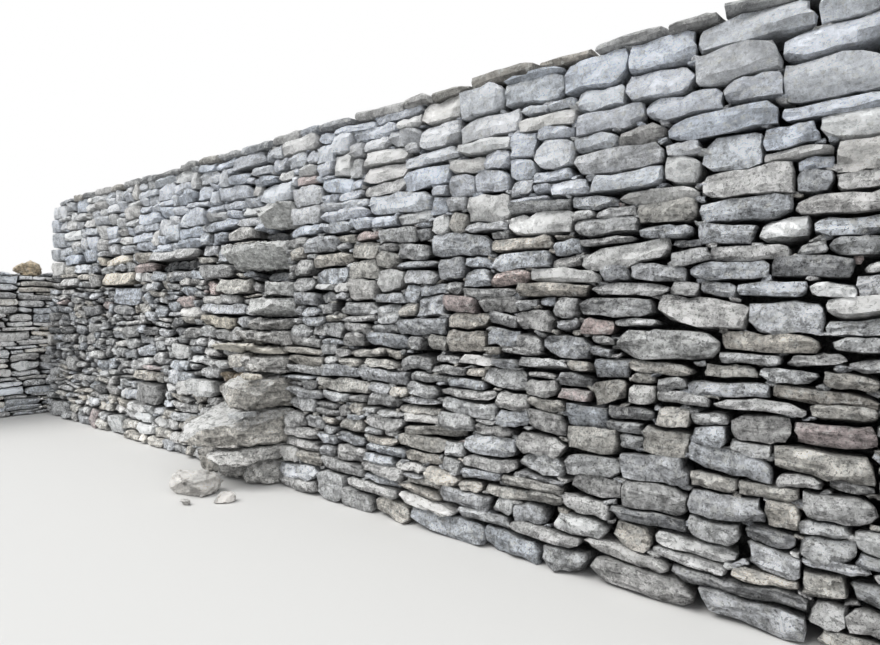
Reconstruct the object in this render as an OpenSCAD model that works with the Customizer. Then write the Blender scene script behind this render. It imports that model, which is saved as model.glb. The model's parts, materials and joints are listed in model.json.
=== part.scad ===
// Dry stone wall: a tall double-faced wall with a lower return wall at its
// west end and the broken stub of a cross wall standing out of its front.
// X runs along the tall wall, its front looks to -Y, the ground is z = 0,
// and the origin lies under the middle of the wall, at the stub's east side.

/* [Tall wall] */
// Length of one of the four building lengths (bays) of the tall wall
bay_l = 2800; // [1600:50:3600]
// Height of the walling, under the cover stones
wall_h = 2900; // [2600:10:3500]
// Thickness of the wall at the ground
base_t = 900; // [850:5:1200]
// Lean of the front face: mm inwards for each metre up
front_batter = 45; // [20:1:65]
// Lean of the back face: mm inwards for each metre up
back_batter = 30; // [10:1:55]
// Depth of the face stones, in from each face
skin_t = 260; // [220:5:290]
// Usual height of one course
course_h = 125; // [90:5:200]

/* [Footing] */
// Height of the footing course
footing_h = 220; // [150:10:300]
// How far the footing stands out from the foot of each face
footing_out = 30; // [10:5:80]

/* [Bed joints] */
// Height of the open joint between two courses
joint_h = 16; // [8:1:30]
// Depth of the open joint, in from the face
joint_d = 26; // [18:1:45]
// Rounding of the stones' edges at the joint
arris = 12; // [4:1:24]
// Most that a course lies back from the face line
set_back = 12; // [0:1:16]

/* [Cover stones] */
// Thickness of the thickest cover stone
cover_t = 100; // [60:5:140]
// Usual length of a cover stone along the wall
cover_l = 460; // [300:10:800]
// Gap between two cover stones
cover_gap = 14; // [6:1:30]

/* [End stones] */
// Height of one quoin at an end of a wall
quoin_h = 235; // [160:5:320]
// Length of the long quoins along the wall
quoin_long = 520; // [420:10:800]
// Length of the short quoins along the wall
quoin_short = 280; // [200:10:400]

/* [Return wall] */
// How far the return wall stands out from the tall wall's foot
return_l = 2800; // [1600:50:3600]
// Height of the return wall's walling, under its cover stones
return_h = 1930; // [1500:10:2300]
// Thickness of the return wall at the ground
return_t = 650; // [600:5:800]
// Lean of the return wall's outer face: mm inwards for each metre up
return_batter = 40; // [0:1:60]
// Depth of the return wall's face stones
return_skin_t = 200; // [150:5:230]
// Usual height of one course of the return wall
return_course_h = 95; // [70:5:160]
// Thickness of the return wall's thickest cover stone
return_cover_t = 75; // [50:5:110]
// Length of the round stone on the return wall, in the corner
cap_l = 400; // [250:10:480]
// Width of that stone
cap_w = 400; // [250:10:480]
// Height of that stone
cap_h = 250; // [150:10:320]

/* [Broken stub of the cross wall] */
// How far the great boulder, the longest of its stones, stands out of the face
stub_reach = 530; // [300:10:600]
// Width of the great boulder along the wall
stub_w = 1020; // [700:10:1200]
// How far the great boulder's nose hangs down
stub_droop = 110; // [0:5:130]
// How deep the tails of the stub's stones are built into the face
stub_tail = 180; // [100:5:200]
// Roundness of the stones' broken noses, 0 square to 1 round
nose = 1; // [0.4:0.1:1.2]
// Roughness of the stones' noses
rough = 0.13; // [0:0.01:0.2]

/* [Hollow of the missing stones] */
// Length of the hollow along the wall
hollow_l = 940; // [300:10:1200]
// Height of the hollow
hollow_h = 110; // [60:5:160]
// How far its middle lies west of the stub's east side
hollow_x = 2050; // [1400:10:2300]
// Height of its floor above the ground
hollow_z = 1880; // [1500:10:2200]
// Depth of the hollow, in from the face
hollow_d = 130; // [60:5:180]

/* [Fallen stones] */
// Length of the fallen boulder
boulder_l = 500; // [300:10:600]
// Width of the fallen boulder
boulder_w = 340; // [200:10:400]
// Height of the fallen boulder
boulder_h = 200; // [120:10:260]

/* [Hidden] */

eps = 1;
over = 400;
fb = front_batter / 1000;
bb = back_batter / 1000;
rb = return_batter / 1000;
front_y = -base_t / 2;
back_y = base_t / 2;
half_l = 2 * bay_l;
return_x = -half_l;
return_south = front_y - return_l;

// The stub's stones, drawn for a wall 2900 mm high over a footing of 220 mm
// and a great boulder 1020 mm wide that reaches 530 mm: these three carry
// every length of the three tables over to other sizes.
along = stub_w / 1020;
out = stub_reach / 530;
up = (wall_h - footing_h) / 2680;
// Stone by stone from the footing up: open height below the stone, its height,
// its west and east ends, its reach out of the face, how much its nose is
// trimmed at the west, east, bottom and top side, and a seed
STUB = [
  [0, 130, -720, -120, 420, [0.20, 0.16, 0.30, 0.10], 3],
  [0, 290, -1120, -100, 530, [0.18, 0.28, 0.20, 0.20], 7],
  [0, 280, -680, -80, 330, [0.20, 0.12, 0.04, 0.16], 11],
  [20, 155, -520, -80, 230, [0.14, 0.20, 0.24, 0.08], 17],
  [0, 80, -1130, -100, 200, [0.16, 0.10, 0.30, 0.06], 23],
  [0, 130, -750, -50, 130, [0.18, 0.08, 0.16, 0.12], 29],
  [0, 105, -580, -50, 160, [0.16, 0.12, 0.10, 0.20], 31],
  [0, 175, -420, -20, 220, [0.12, 0.16, 0.34, 0.06], 37],
  [0, 135, -480, -40, 170, [0.24, 0.10, 0.10, 0.16], 41],
  [100, 250, -900, -130, 190, [0.10, 0.14, 0.24, 0.08], 43],
  [100, 230, -430, -80, 200, [0.14, 0.12, 0.28, 0.10], 47]];
// The three foot stones: west end, east end, reach, trims and seed
FEET = [
  [-820, -430, 200, [0.26, 0.14, 0.02, 0.20], 53],
  [-420, -150, 180, [0.16, 0.24, 0.02, 0.26], 59],
  [-1240, -840, 170, [0.20, 0.20, 0.02, 0.22], 73]];
// Where the fallen boulder lies: its middle west of the stub's east side and
// out of the tall wall's foot, and the way it lies in degrees
BOULDER_AT = [-470, 575, 52];
// The small stones at the stub's foot: middle of each, placed alike, its
// length, width, height, the way it lies in degrees, and a seed
SMALLS = [
  [-95, 520, 220, 140, 85, 50, 61],
  [-250, 740, 110, 80, 50, 20, 67],
  [-1080, 350, 100, 75, 50, 140, 71]];

function rnd(i) = let(s = sin(i * 127.1 + 311.7) * 4375.85) s - floor(s);
function sum(v, n) = n <= 0 ? 0 : v[n - 1] + sum(v, n - 1);

// Bed lines of n courses from z0 up to z1; "swell" makes the upper ones taller
function beds(z0, z1, h, swell, seed) =
  let(n = max(2, round((z1 - z0) / h)),
      w = [for (i = [0:n - 1]) 0.82 + 0.36 * rnd(i + seed) + swell * i / n],
      all = sum(w, n))
  [for (i = [0:n]) z0 + (z1 - z0) * sum(w, i) / all];

// Outline of a coursed face, bottom to top: [distance in from the foot, z]
function face_line(zs, lean, seed) =
  [for (i = [0:len(zs) - 2])
    let(a = zs[i], b = zs[i + 1], s = set_back * rnd(3 * i + seed),
        ja = i > 0 ? joint_h / 2 : 0,
        jb = i < len(zs) - 2 ? joint_h / 2 : 0,
        da = i > 0 ? joint_d : s, db = i < len(zs) - 2 ? joint_d : s)
    each [
      [lean * a + da, a + ja],
      [lean * (a + ja + arris) + s, a + ja + arris],
      [lean * (b - jb - arris) + s, b - jb - arris],
      [lean * b + db, b - jb]]];

tall_beds = beds(footing_h, wall_h, course_h, 0.35, 5);
back_beds = beds(footing_h, wall_h, course_h, 0.2, 105);
quoin_beds = beds(footing_h, wall_h, quoin_h, 0, 205);
west_beds = beds(return_h, wall_h, quoin_h, 0, 305);
return_beds = beds(footing_h, return_h, return_course_h, 0.1, 405);
outer_beds = beds(footing_h, return_h, return_course_h, 0.1, 505);
return_quoin_beds = beds(footing_h, return_h, quoin_h * 0.8, 0, 605);

function reversed(v) = [for (i = [len(v) - 1:-1:0]) v[i]];
function front_line(zs, seed) =
  [for (p = face_line(zs, fb, seed)) [front_y + p[0], p[1]]];
function back_line(zs, seed) =
  [for (p = face_line(zs, bb, seed)) [back_y - p[0], p[1]]];

// Sweeps a section drawn in Y and Z along X
module along_x(x0, x1) {
  translate([x0, 0, 0])
    rotate([90, 0, 90])
      linear_extrude(x1 - x0) children();
}

// Sweeps an elevation drawn in X and Z along Y
module along_y(y0, y1) {
  translate([0, y1, 0])
    rotate([90, 0, 0])
      linear_extrude(y1 - y0) children();
}

// Elevation of a column of long and short end stones: teeth to the wall
// at positive u, coursed face at u = 0
function quoin_line(zs, seed) = concat(
  [for (p = face_line(zs, 0, seed)) p],
  reversed([for (i = [0:len(zs) - 2])
    let(l = i % 2 == 0 ? quoin_long : quoin_short)
    each [[l, zs[i]], [l, zs[i + 1]]]]));

// The room that those stones take out of the wall
function quoin_room(zs) = concat(
  [[-over, zs[0]], [-over, zs[len(zs) - 1] + over],
   [len(zs) % 2 == 0 ? quoin_long : quoin_short, zs[len(zs) - 1] + over]],
  reversed([for (i = [0:len(zs) - 2])
    let(l = i % 2 == 0 ? quoin_long : quoin_short)
    each [[l, zs[i]], [l, zs[i + 1]]]]));

module east_room() {
  along_y(-over - base_t, over + base_t)
    polygon([for (p = quoin_room(quoin_beds)) [half_l - p[0], p[1]]]);
}

module west_room() {
  along_y(-over - base_t, over + base_t)
    polygon([for (p = quoin_room(west_beds)) [return_x + p[0], p[1]]]);
}

// Footing course with a weathered upper edge
module footing(x0, x1) {
  y0 = front_y - footing_out;
  y1 = back_y + footing_out;
  along_x(x0, x1)
    polygon([
      [y0, 0], [y0, footing_h - arris], [y0 + arris, footing_h],
      [y1 - arris, footing_h], [y1, footing_h - arris], [y1, 0]]);
}

module front_skin(x0, x1) {
  along_x(x0, x1)
    polygon(concat(front_line(tall_beds, 9),
      [[front_y + fb * wall_h + skin_t, wall_h],
       [front_y + fb * footing_h + skin_t, footing_h]]));
}

module back_skin(x0, x1) {
  along_x(x0, x1)
    polygon(concat(back_line(back_beds, 19),
      [[back_y - bb * wall_h - skin_t, wall_h],
       [back_y - bb * footing_h - skin_t, footing_h]]));
}

// Small packed stones between the two skins; it narrows as the faces lean in
module hearting(x0, x1) {
  along_x(x0, x1)
    polygon([
      [front_y + fb * footing_h + skin_t, footing_h],
      [front_y + fb * wall_h + skin_t, wall_h],
      [back_y - bb * wall_h - skin_t, wall_h],
      [back_y - bb * footing_h - skin_t, footing_h]]);
}

// One flat cover stone: a rough slab that fills its cell but for the joints
module slab(x0, x1, y0, y1, t, seed) {
  g = cover_gap / 2;
  w = x1 - x0;
  d = y1 - y0;
  linear_extrude(t)
    polygon([
      [x0 + g + 0.10 * w * rnd(seed), y0 + 0.03 * d * rnd(seed + 1)],
      [x0 + w * (0.4 + 0.2 * rnd(seed + 2)), y0 + 0.05 * d * rnd(seed + 3)],
      [x1 - g - 0.10 * w * rnd(seed + 4), y0 + 0.03 * d * rnd(seed + 5)],
      [x1 - g, y0 + d * (0.12 + 0.2 * rnd(seed + 6))],
      [x1 - g, y1 - d * (0.12 + 0.2 * rnd(seed + 7))],
      [x1 - g - 0.12 * w * rnd(seed + 8), y1 - g],
      [x0 + w * (0.4 + 0.2 * rnd(seed + 9)), y1 - g - 0.05 * d * rnd(seed + 10)],
      [x0 + g + 0.12 * w * rnd(seed + 11), y1 - g],
      [x0 + g, y1 - d * (0.12 + 0.2 * rnd(seed + 12))],
      [x0 + g, y0 + d * (0.12 + 0.2 * rnd(seed + 13))]]);
}

// A row of cover stones from x0 to x1; the stone at "gone" has been lost
module cover_row(x0, x1, y0, y1, t, seed, gone = -1) {
  n = max(1, round((x1 - x0) / cover_l));
  cut = [for (i = [0:n])
    x0 + (x1 - x0) * (i + (i > 0 && i < n ? 0.44 * (rnd(i + seed) - 0.5) : 0)) / n];
  for (i = [0:n - 1])
    if (i != gone)
      slab(cut[i], cut[i + 1], y0, y1, t * (0.62 + 0.38 * rnd(i * 7 + seed + 2)),
        seed * 13 + i * 17);
}

// Cover stones of one bay: a front row and a back row that break joint
module cover(x0, seed, gone = -1) {
  y0 = front_y + fb * wall_h;
  y1 = back_y - bb * wall_h;
  mid = (y0 + y1) / 2 + 30;
  translate([0, 0, wall_h]) {
    cover_row(x0, x0 + bay_l, y0, mid, cover_t, seed, gone);
    translate([0, y1 + mid, 0])
      mirror([0, 1, 0])
        cover_row(x0, x0 + bay_l, mid, y1, cover_t, seed + 50);
  }
}

// Twelve points of a stone's section in a unit square, its corners cut by
// c of its width and d of its height
function ring(c, d) = [
  [c, 0], [0.5, 0], [1 - c, 0], [1, d], [1, 0.5], [1, 1 - d],
  [1 - c, 1], [0.5, 1], [c, 1], [0, 1 - d], [0, 0.5], [0, d]];

// The stub leans out and down: how far all its stones sink at a given y.
// They sink alike, so that their beds stay shut, and the footing's stones
// less and less towards the ground.
function sink(y, z) = stub_droop * min(1, z / footing_h)
  * pow(max(0, front_y - y) / stub_reach, 2);

// A bonder or boulder built into the face: its tail fills a socket, and the
// broken nose stands out, lofted over rings that shrink towards its end
module bonder(x0, x1, z0, z1, y, reach, trim, seed) {
  w = x1 - x0;
  h = z1 - z0;
  steps = 5;
  m = 12;
  blunt = min(1, 1.4 * h / w);
  tail = [for (p = ring(0.07 * blunt, 0.07))
    [x0 + w * p[0], y + stub_tail, z0 + h * p[1]]];
  body = [for (k = [0:steps])
    let(a = 90 * k / steps, d = reach * sin(a), s = nose * (1 - cos(a)),
        c = 0.07 + 0.16 * sin(a),
        xa = x0 + w * trim[0] * s, xb = x1 - w * trim[1] * s,
        za = z0 + h * trim[2] * s, zb = z1 - h * trim[3] * s)
    for (i = [0:m - 1])
      let(p = ring(c * blunt, c)[i],
          q = k == 0 ? 0 : rough * rnd(seed + 5 * k + 31 * i),
          u = p[0] + (0.5 - p[0]) * q * blunt, v = p[1] + (0.5 - p[1]) * q,
          b = k == steps ? 0.04 * reach * rnd(seed + 7 * i) : 0,
          py = y - d + b, pz = za + (zb - za) * v)
      [xa + (xb - xa) * u, py, pz - (k == 0 ? 0 : sink(py, pz))]];
  tip_z = (z0 + z1) / 2 + h * (trim[2] - trim[3]) / 2 * nose;
  tip = [(x0 + x1) / 2 + w * (trim[0] - trim[1]) / 2 * nose, y - reach,
         tip_z - sink(y - reach, tip_z)];
  root = [(x0 + x1) / 2, y + stub_tail, (z0 + z1) / 2];
  pts = concat(tail, body, [tip, root]);
  rings = steps + 2;
  last = rings * m;
  walls = [for (k = [0:rings - 2]) for (i = [0:m - 1])
    let(a = k * m + i, b = k * m + (i + 1) % m, c = a + m, d = b + m)
    each [[a, b, c], [b, d, c]]];
  head = [for (i = [0:m - 1])
    [(rings - 1) * m + i, (rings - 1) * m + (i + 1) % m, last]];
  foot = [for (i = [0:m - 1]) [(i + 1) % m, i, last + 1]];
  polyhedron(pts, concat(walls, head, foot), convexity = 4);
}

// Height of a stub stone's bed and top, counted up from the footing
function stub_z0(i) =
  footing_h + up * (sum([for (s = STUB) s[0] + s[1]], i) + STUB[i][0]);
function stub_z1(i) = stub_z0(i) + up * STUB[i][1];
function stub_y(i) = front_y + fb * stub_z0(i);

module stub_stone(i) {
  s = STUB[i];
  bonder(along * s[2], along * s[3], stub_z0(i), stub_z1(i), stub_y(i),
    out * s[4], s[5], s[6]);
}

module foot_stone(i) {
  s = FEET[i];
  bonder(along * s[0], along * s[1], 0, footing_h, front_y - footing_out,
    out * s[2], s[3], s[4]);
}

// The socket of each stub stone in the face
module stub_sockets() {
  for (i = [0:len(STUB) - 1])
    translate([along * STUB[i][2], stub_y(i) - over, stub_z0(i)])
      cube([along * (STUB[i][3] - STUB[i][2]), over + stub_tail, up * STUB[i][1]]);
}

module foot_sockets() {
  for (s = FEET)
    translate([along * s[0], front_y - footing_out - over, -eps])
      cube([along * (s[1] - s[0]), over + stub_tail, footing_h + 2 * eps]);
}

// A loose stone on a flat bed, l long, w wide and h high
module loose_stone(l, w, h, seed) {
  m = 14;
  rows = [[0, 0.80], [0.14, 0.95], [0.42, 1], [0.72, 0.86], [0.92, 0.58]];
  body = [for (k = [0:len(rows) - 1]) for (i = [0:m - 1])
    let(a = 360 * i / m, q = 1 - 0.16 * rnd(seed + 11 * i) - 0.05 * rnd(seed + k + 3 * i),
        f = rows[k][1] * q,
        r = 1 / pow(pow(abs(cos(a)), 2.8) + pow(abs(sin(a)), 2.8), 1 / 2.8))
    [l / 2 * f * r * cos(a), w / 2 * f * r * sin(a),
     h * (rows[k][0] - (k == 4 ? 0.10 * rnd(seed + 5 * i) : 0))]];
  pts = concat(body, [[0.06 * l, 0, h]]);
  last = len(pts) - 1;
  n = len(rows);
  walls = [for (k = [0:n - 2]) for (i = [0:m - 1])
    let(a = k * m + i, b = k * m + (i + 1) % m, c = a + m, d = b + m)
    each [[a, c, b], [b, c, d]]];
  head = [for (i = [0:m - 1]) [(n - 1) * m + i, last, (n - 1) * m + (i + 1) % m]];
  foot = [[for (i = [0:m - 1]) i]];
  polyhedron(pts, concat(walls, head, foot), convexity = 3);
}

grey = [0.56, 0.57, 0.58];
mid_grey = [0.50, 0.51, 0.51];
dark_grey = [0.36, 0.36, 0.35];
pale_grey = [0.67, 0.67, 0.66];
cream = [0.85, 0.83, 0.78];
brown = [0.48, 0.40, 0.31];

module footing_west() { color(mid_grey) footing(return_x, -bay_l); }
module footing_middle() {
  color(mid_grey)
    difference() {
      footing(-bay_l, bay_l);
      foot_sockets();
    }
}
module footing_east() { color(mid_grey) footing(bay_l, half_l); }

module front_face_bay_1() {
  color(grey)
    difference() {
      front_skin(return_x, -bay_l);
      west_room();
    }
}
module front_face_bay_2() {
  color(grey)
    difference() {
      front_skin(-bay_l, 0);
      stub_sockets();
      translate([-hollow_x - hollow_l / 2, front_y - over, hollow_z])
        cube([hollow_l, over + fb * hollow_z + hollow_d, hollow_h]);
    }
}
module front_face_bay_3() { color(grey) front_skin(0, bay_l); }
module front_face_bay_4() {
  color(grey)
    difference() {
      front_skin(bay_l, half_l);
      east_room();
    }
}

module back_face_bay_1() {
  color(grey)
    difference() {
      back_skin(return_x, -bay_l);
      west_room();
    }
}
module back_face_bay_2() { color(grey) back_skin(-bay_l, 0); }
module back_face_bay_3() { color(grey) back_skin(0, bay_l); }
module back_face_bay_4() {
  color(grey)
    difference() {
      back_skin(bay_l, half_l);
      east_room();
    }
}

module hearting_west() {
  color(dark_grey)
    difference() {
      hearting(return_x, -bay_l);
      west_room();
    }
}
module hearting_middle() { color(dark_grey) hearting(-bay_l, bay_l); }
module hearting_east() {
  color(dark_grey)
    difference() {
      hearting(bay_l, half_l);
      east_room();
    }
}

module cover_bay_1() { color(pale_grey) cover(return_x, 1, 0); }
module cover_bay_2() { color(pale_grey) cover(-bay_l, 2); }
module cover_bay_3() { color(pale_grey) cover(0, 3); }
module cover_bay_4() { color(pale_grey) cover(bay_l, 4); }

// The wall's end section, faced on both sides at the quoins' own beds
module end_section(zs, seed, x0, x1) {
  along_x(x0, x1)
    polygon(concat(front_line(zs, seed), reversed(back_line(zs, seed + 3))));
}
module east_quoins() {
  color(grey)
    intersection() {
      end_section(quoin_beds, 71, bay_l, half_l);
      along_y(-over - base_t, over + base_t)
        polygon([for (p = quoin_line(quoin_beds, 77)) [half_l - p[0], p[1]]]);
    }
}
module west_quoins() {
  color(grey)
    intersection() {
      end_section(west_beds, 81, return_x, -bay_l);
      along_y(-over - base_t, over + base_t)
        polygon([for (p = quoin_line(west_beds, 87)) [return_x + p[0], p[1]]]);
    }
}

// The return wall is drawn along Y, from its free south end to the back
module return_room() {
  along_x(return_x - return_t - over, return_x + over)
    polygon([for (p = quoin_room(return_quoin_beds)) [return_south + p[0], p[1]]]);
}
module return_footing() {
  x0 = return_x - return_t - footing_out;
  color(mid_grey)
    along_y(return_south, back_y)
      polygon([[x0, 0], [x0, footing_h - arris], [x0 + arris, footing_h],
        [return_x, footing_h], [return_x, 0]]);
}
module return_inner_face() {
  color(mid_grey)
    difference() {
      along_y(return_south, back_y)
        polygon(concat(
          [for (p = face_line(return_beds, 0, 29)) [return_x - p[0], p[1]]],
          [[return_x - return_skin_t, return_h],
           [return_x - return_skin_t, footing_h]]));
      return_room();
    }
}
module return_outer_face() {
  x0 = return_x - return_t;
  color(mid_grey)
    difference() {
      along_y(return_south, back_y)
        polygon(concat(
          [for (p = face_line(outer_beds, rb, 39)) [x0 + p[0], p[1]]],
          [[x0 + rb * return_h + return_skin_t, return_h],
           [x0 + rb * footing_h + return_skin_t, footing_h]]));
      return_room();
    }
}
module return_hearting() {
  x0 = return_x - return_t + return_skin_t;
  color(dark_grey)
    difference() {
      along_y(return_south, back_y)
        polygon([
          [x0 + rb * footing_h, footing_h], [x0 + rb * return_h, return_h],
          [return_x - return_skin_t, return_h],
          [return_x - return_skin_t, footing_h]]);
      return_room();
    }
}
module return_quoins() {
  x0 = return_x - return_t;
  color(mid_grey)
    intersection() {
      along_y(return_south, back_y)
        polygon(concat(
          [for (p = face_line(return_quoin_beds, rb, 91)) [x0 + p[0], p[1]]],
          reversed([for (p = face_line(return_quoin_beds, 0, 93))
            [return_x - p[0], p[1]]])));
      along_x(return_x - return_t - over, return_x + over)
        polygon([for (p = quoin_line(return_quoin_beds, 97))
          [return_south + p[0], p[1]]]);
    }
}
// Where the cap stone lies on the return wall, in the corner
cap_y0 = front_y - cap_l * 0.8;
cap_y1 = cap_y0 + cap_l;
module return_cover() {
  color(pale_grey)
    translate([return_x, 0, return_h])
      rotate([0, 0, 90]) {
        cover_row(return_south, cap_y0, cover_gap, return_t - rb * return_h,
          return_cover_t, 8);
        cover_row(cap_y1, back_y, cover_gap, return_t - rb * return_h,
          return_cover_t, 9);
      }
}
module corner_cap_stone() {
  color(brown)
    translate([return_x - 0.575 * cap_w, (cap_y0 + cap_y1) / 2, return_h])
      rotate([0, 0, 90]) loose_stone(cap_l * 0.96, cap_w, cap_h, 5);
}

module stub_foot_stone_west() { color(grey) foot_stone(0); }
module stub_foot_stone_east() { color(grey) foot_stone(1); }
module stub_foot_stone_outer() { color(pale_grey) foot_stone(2); }
module stub_base_slab() { color(grey) stub_stone(0); }
module stub_great_boulder() { color(pale_grey) stub_stone(1); }
module stub_shoulder_stone() { color(pale_grey) stub_stone(2); }
module stub_wide_bonder() { color(mid_grey) stub_stone(3); }
module stub_cream_slab() { color(cream) stub_stone(4); }
module stub_flat_bonder() { color(grey) stub_stone(5); }
module stub_thin_bonder() { color(grey) stub_stone(6); }
module stub_square_bonder() { color(pale_grey) stub_stone(7); }
module stub_sloping_bonder() { color(grey) stub_stone(8); }
module stub_ledge_block() { color(grey) stub_stone(9); }
module stub_top_block() { color(grey) stub_stone(10); }

module fallen_boulder() {
  color(pale_grey)
    translate([along * BOULDER_AT[0], front_y - out * BOULDER_AT[1], 0])
      rotate([0, 0, BOULDER_AT[2]])
        loose_stone(boulder_l, boulder_w, boulder_h, 2);
}
module fallen_small_stones() {
  color(pale_grey)
    for (s = SMALLS)
      translate([along * s[0], front_y - out * s[1], 0])
        rotate([0, 0, s[5]])
          loose_stone(along * s[2], out * s[3], up * s[4], s[6]);
}

footing_west();
footing_middle();
footing_east();
front_face_bay_1();
front_face_bay_2();
front_face_bay_3();
front_face_bay_4();
back_face_bay_1();
back_face_bay_2();
back_face_bay_3();
back_face_bay_4();
hearting_west();
hearting_middle();
hearting_east();
cover_bay_1();
cover_bay_2();
cover_bay_3();
cover_bay_4();
east_quoins();
west_quoins();
return_footing();
return_inner_face();
return_outer_face();
return_hearting();
return_cover();
return_quoins();
corner_cap_stone();
stub_foot_stone_west();
stub_foot_stone_east();
stub_foot_stone_outer();
stub_base_slab();
stub_great_boulder();
stub_shoulder_stone();
stub_wide_bonder();
stub_cream_slab();
stub_flat_bonder();
stub_thin_bonder();
stub_square_bonder();
stub_sloping_bonder();
stub_ledge_block();
stub_top_block();
fallen_boulder();
fallen_small_stones();
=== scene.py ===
# %% [markdown]
# # A dry stone wall
#
# A tall wall of thin, rough limestone, laid without mortar, with a lower wall
# returning at its west end and the broken stub of a cross wall standing out of
# its front. The lesson lays the wall as a waller would: first the courses are
# planned on paper, then a heap of rough stones is made, and then each planned
# place gets a stone. Geometry Nodes do the laying, because the same few rough
# shapes serve for all the stones of a face.

# %% Load the wall's solids
import math
import random
from collections import namedtuple

import bmesh
import bpy
import json
import numpy as np
from mathutils import Euler, Matrix, Vector, noise

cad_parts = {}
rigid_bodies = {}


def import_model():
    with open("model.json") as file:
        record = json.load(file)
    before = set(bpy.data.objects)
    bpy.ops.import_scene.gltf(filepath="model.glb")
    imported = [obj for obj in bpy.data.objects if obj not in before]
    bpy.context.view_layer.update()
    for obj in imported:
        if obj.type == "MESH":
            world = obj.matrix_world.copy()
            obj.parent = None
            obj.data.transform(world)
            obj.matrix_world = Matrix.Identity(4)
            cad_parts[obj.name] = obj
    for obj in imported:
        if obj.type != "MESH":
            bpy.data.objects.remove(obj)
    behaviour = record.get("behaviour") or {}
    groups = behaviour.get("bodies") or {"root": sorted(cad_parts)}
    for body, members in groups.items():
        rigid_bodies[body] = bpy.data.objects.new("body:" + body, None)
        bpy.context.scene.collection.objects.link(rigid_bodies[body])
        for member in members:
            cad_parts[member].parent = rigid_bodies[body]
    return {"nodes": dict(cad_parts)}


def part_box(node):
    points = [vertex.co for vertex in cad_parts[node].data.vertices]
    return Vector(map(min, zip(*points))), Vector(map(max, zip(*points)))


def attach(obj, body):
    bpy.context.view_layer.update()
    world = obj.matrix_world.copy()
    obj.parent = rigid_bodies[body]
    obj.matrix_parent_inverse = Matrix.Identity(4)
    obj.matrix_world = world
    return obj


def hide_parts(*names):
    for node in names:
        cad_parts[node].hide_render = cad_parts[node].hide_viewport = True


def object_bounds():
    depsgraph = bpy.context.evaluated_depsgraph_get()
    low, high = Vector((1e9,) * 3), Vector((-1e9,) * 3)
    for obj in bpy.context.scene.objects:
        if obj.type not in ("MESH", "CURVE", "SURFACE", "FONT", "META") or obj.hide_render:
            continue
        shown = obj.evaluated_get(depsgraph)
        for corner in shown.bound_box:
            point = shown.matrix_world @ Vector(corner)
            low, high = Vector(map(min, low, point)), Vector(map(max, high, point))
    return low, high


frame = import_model()
cad_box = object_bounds()
scene = bpy.context.scene
LOW, HIGH = Vector(cad_box[0]), Vector(cad_box[1])
print("solids:", len(frame["nodes"]), "box:", [round(v, 3) for v in (*LOW, *HIGH)])

# %% [markdown]
# ## The wall's main sizes
#
# They repeat the sizes of the solids, in metres: the tall wall's two ends, its
# thickness at the ground, the lean of its faces, and the return wall.

# %% Main sizes
# the tall wall: one of its four equal lengths, its ends, half its thickness
BAY = 2.8
WEST, EAST = -2 * BAY, 2 * BAY
HALF = 0.45
# how far each face leans in for every metre of height
FRONT_LEAN, BACK_LEAN, RETURN_LEAN = 0.045, 0.030, 0.040
# the footing's height and how far it stands out
FOOT, FOOT_OUT = 0.22, 0.03
# top of the courses, height of the cover stones, depth of the face stones
TOP, COVER, SKIN = 2.90, 0.10, 0.26
# the same for the return wall, and its thickness and length
RETURN_TOP, RETURN_COVER, RETURN_SKIN = 1.93, 0.075, 0.20
RETURN_T, RETURN_LENGTH = 0.65, 2.8
RETURN_SOUTH = -HALF - RETURN_LENGTH


class Face:
    """One face of a wall: u runs along it, v up it, and o out of it."""

    def __init__(self, origin, heading, lean, depth):
        self.origin = Vector(origin)
        self.heading = heading
        self.lean = lean
        self.depth = depth
        turn = Matrix.Rotation(heading, 3, "Z")
        self.along = turn @ Vector((1, 0, 0))
        self.out = turn @ Vector((0, -1, 0))

    def place(self, u, v, o=0.0):
        p = self.origin + self.along * u + self.out * (o - self.lean * v)
        return Vector((p.x, p.y, v))

    def turn(self, roll, nod=0.0, yaw=0.0):
        m = (
            Matrix.Rotation(self.heading + yaw, 3, "Z")
            @ Matrix.Rotation(-math.atan(self.lean) + nod, 3, "X")
            @ Matrix.Rotation(roll, 3, "Y")
        )
        return m.to_euler("XYZ")


front = Face((0, -HALF, 0), 0.0, FRONT_LEAN, SKIN)
back = Face((0, HALF, 0), math.pi, BACK_LEAN, SKIN)
return_in = Face((WEST, 0, 0), math.pi / 2, 0.0, RETURN_SKIN)
return_out = Face((WEST - RETURN_T, 0, 0), -math.pi / 2, RETURN_LEAN, RETURN_SKIN)
print("front foot at", tuple(round(c, 3) for c in front.place(0, 0)))

# %% [markdown]
# ## Planning the courses
#
# A dry stone wall is built upwards: the waller looks for the lowest dip in the
# unfinished top, picks a stone that fills it, and keeps each upright joint off
# the joint below. The same can be done on a row of narrow columns that
# remember how high the wall has grown. A regular brick pattern would be
# quicker, but no two stones of this wall are alike.

# %% A planner that always fills the lowest dip
# the width of a column, and the narrowest dip in columns that a new stone may
# leave beside it
STEP, LEAST = 0.02, 6
# columns that differ by less are one dip, and a dip less deep needs no stone
LEVEL, SHALLOW = 0.004, 0.010
# the thinnest bed that is planned, and the slack that rounding may leave
THINNEST, HAIR = 0.012, 0.001
# where less than this would be left above a stone, the stone takes it up
LAST_BED = 0.045
# ends of the plan count as very high sides of a dip
NO_SIDE = 9.0
# how many columns a joint may move to keep off the joint below
NUDGES = (0, 2, -2, 3, -3, 4, -4, 5, -5, 6, 7, 8)


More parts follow.
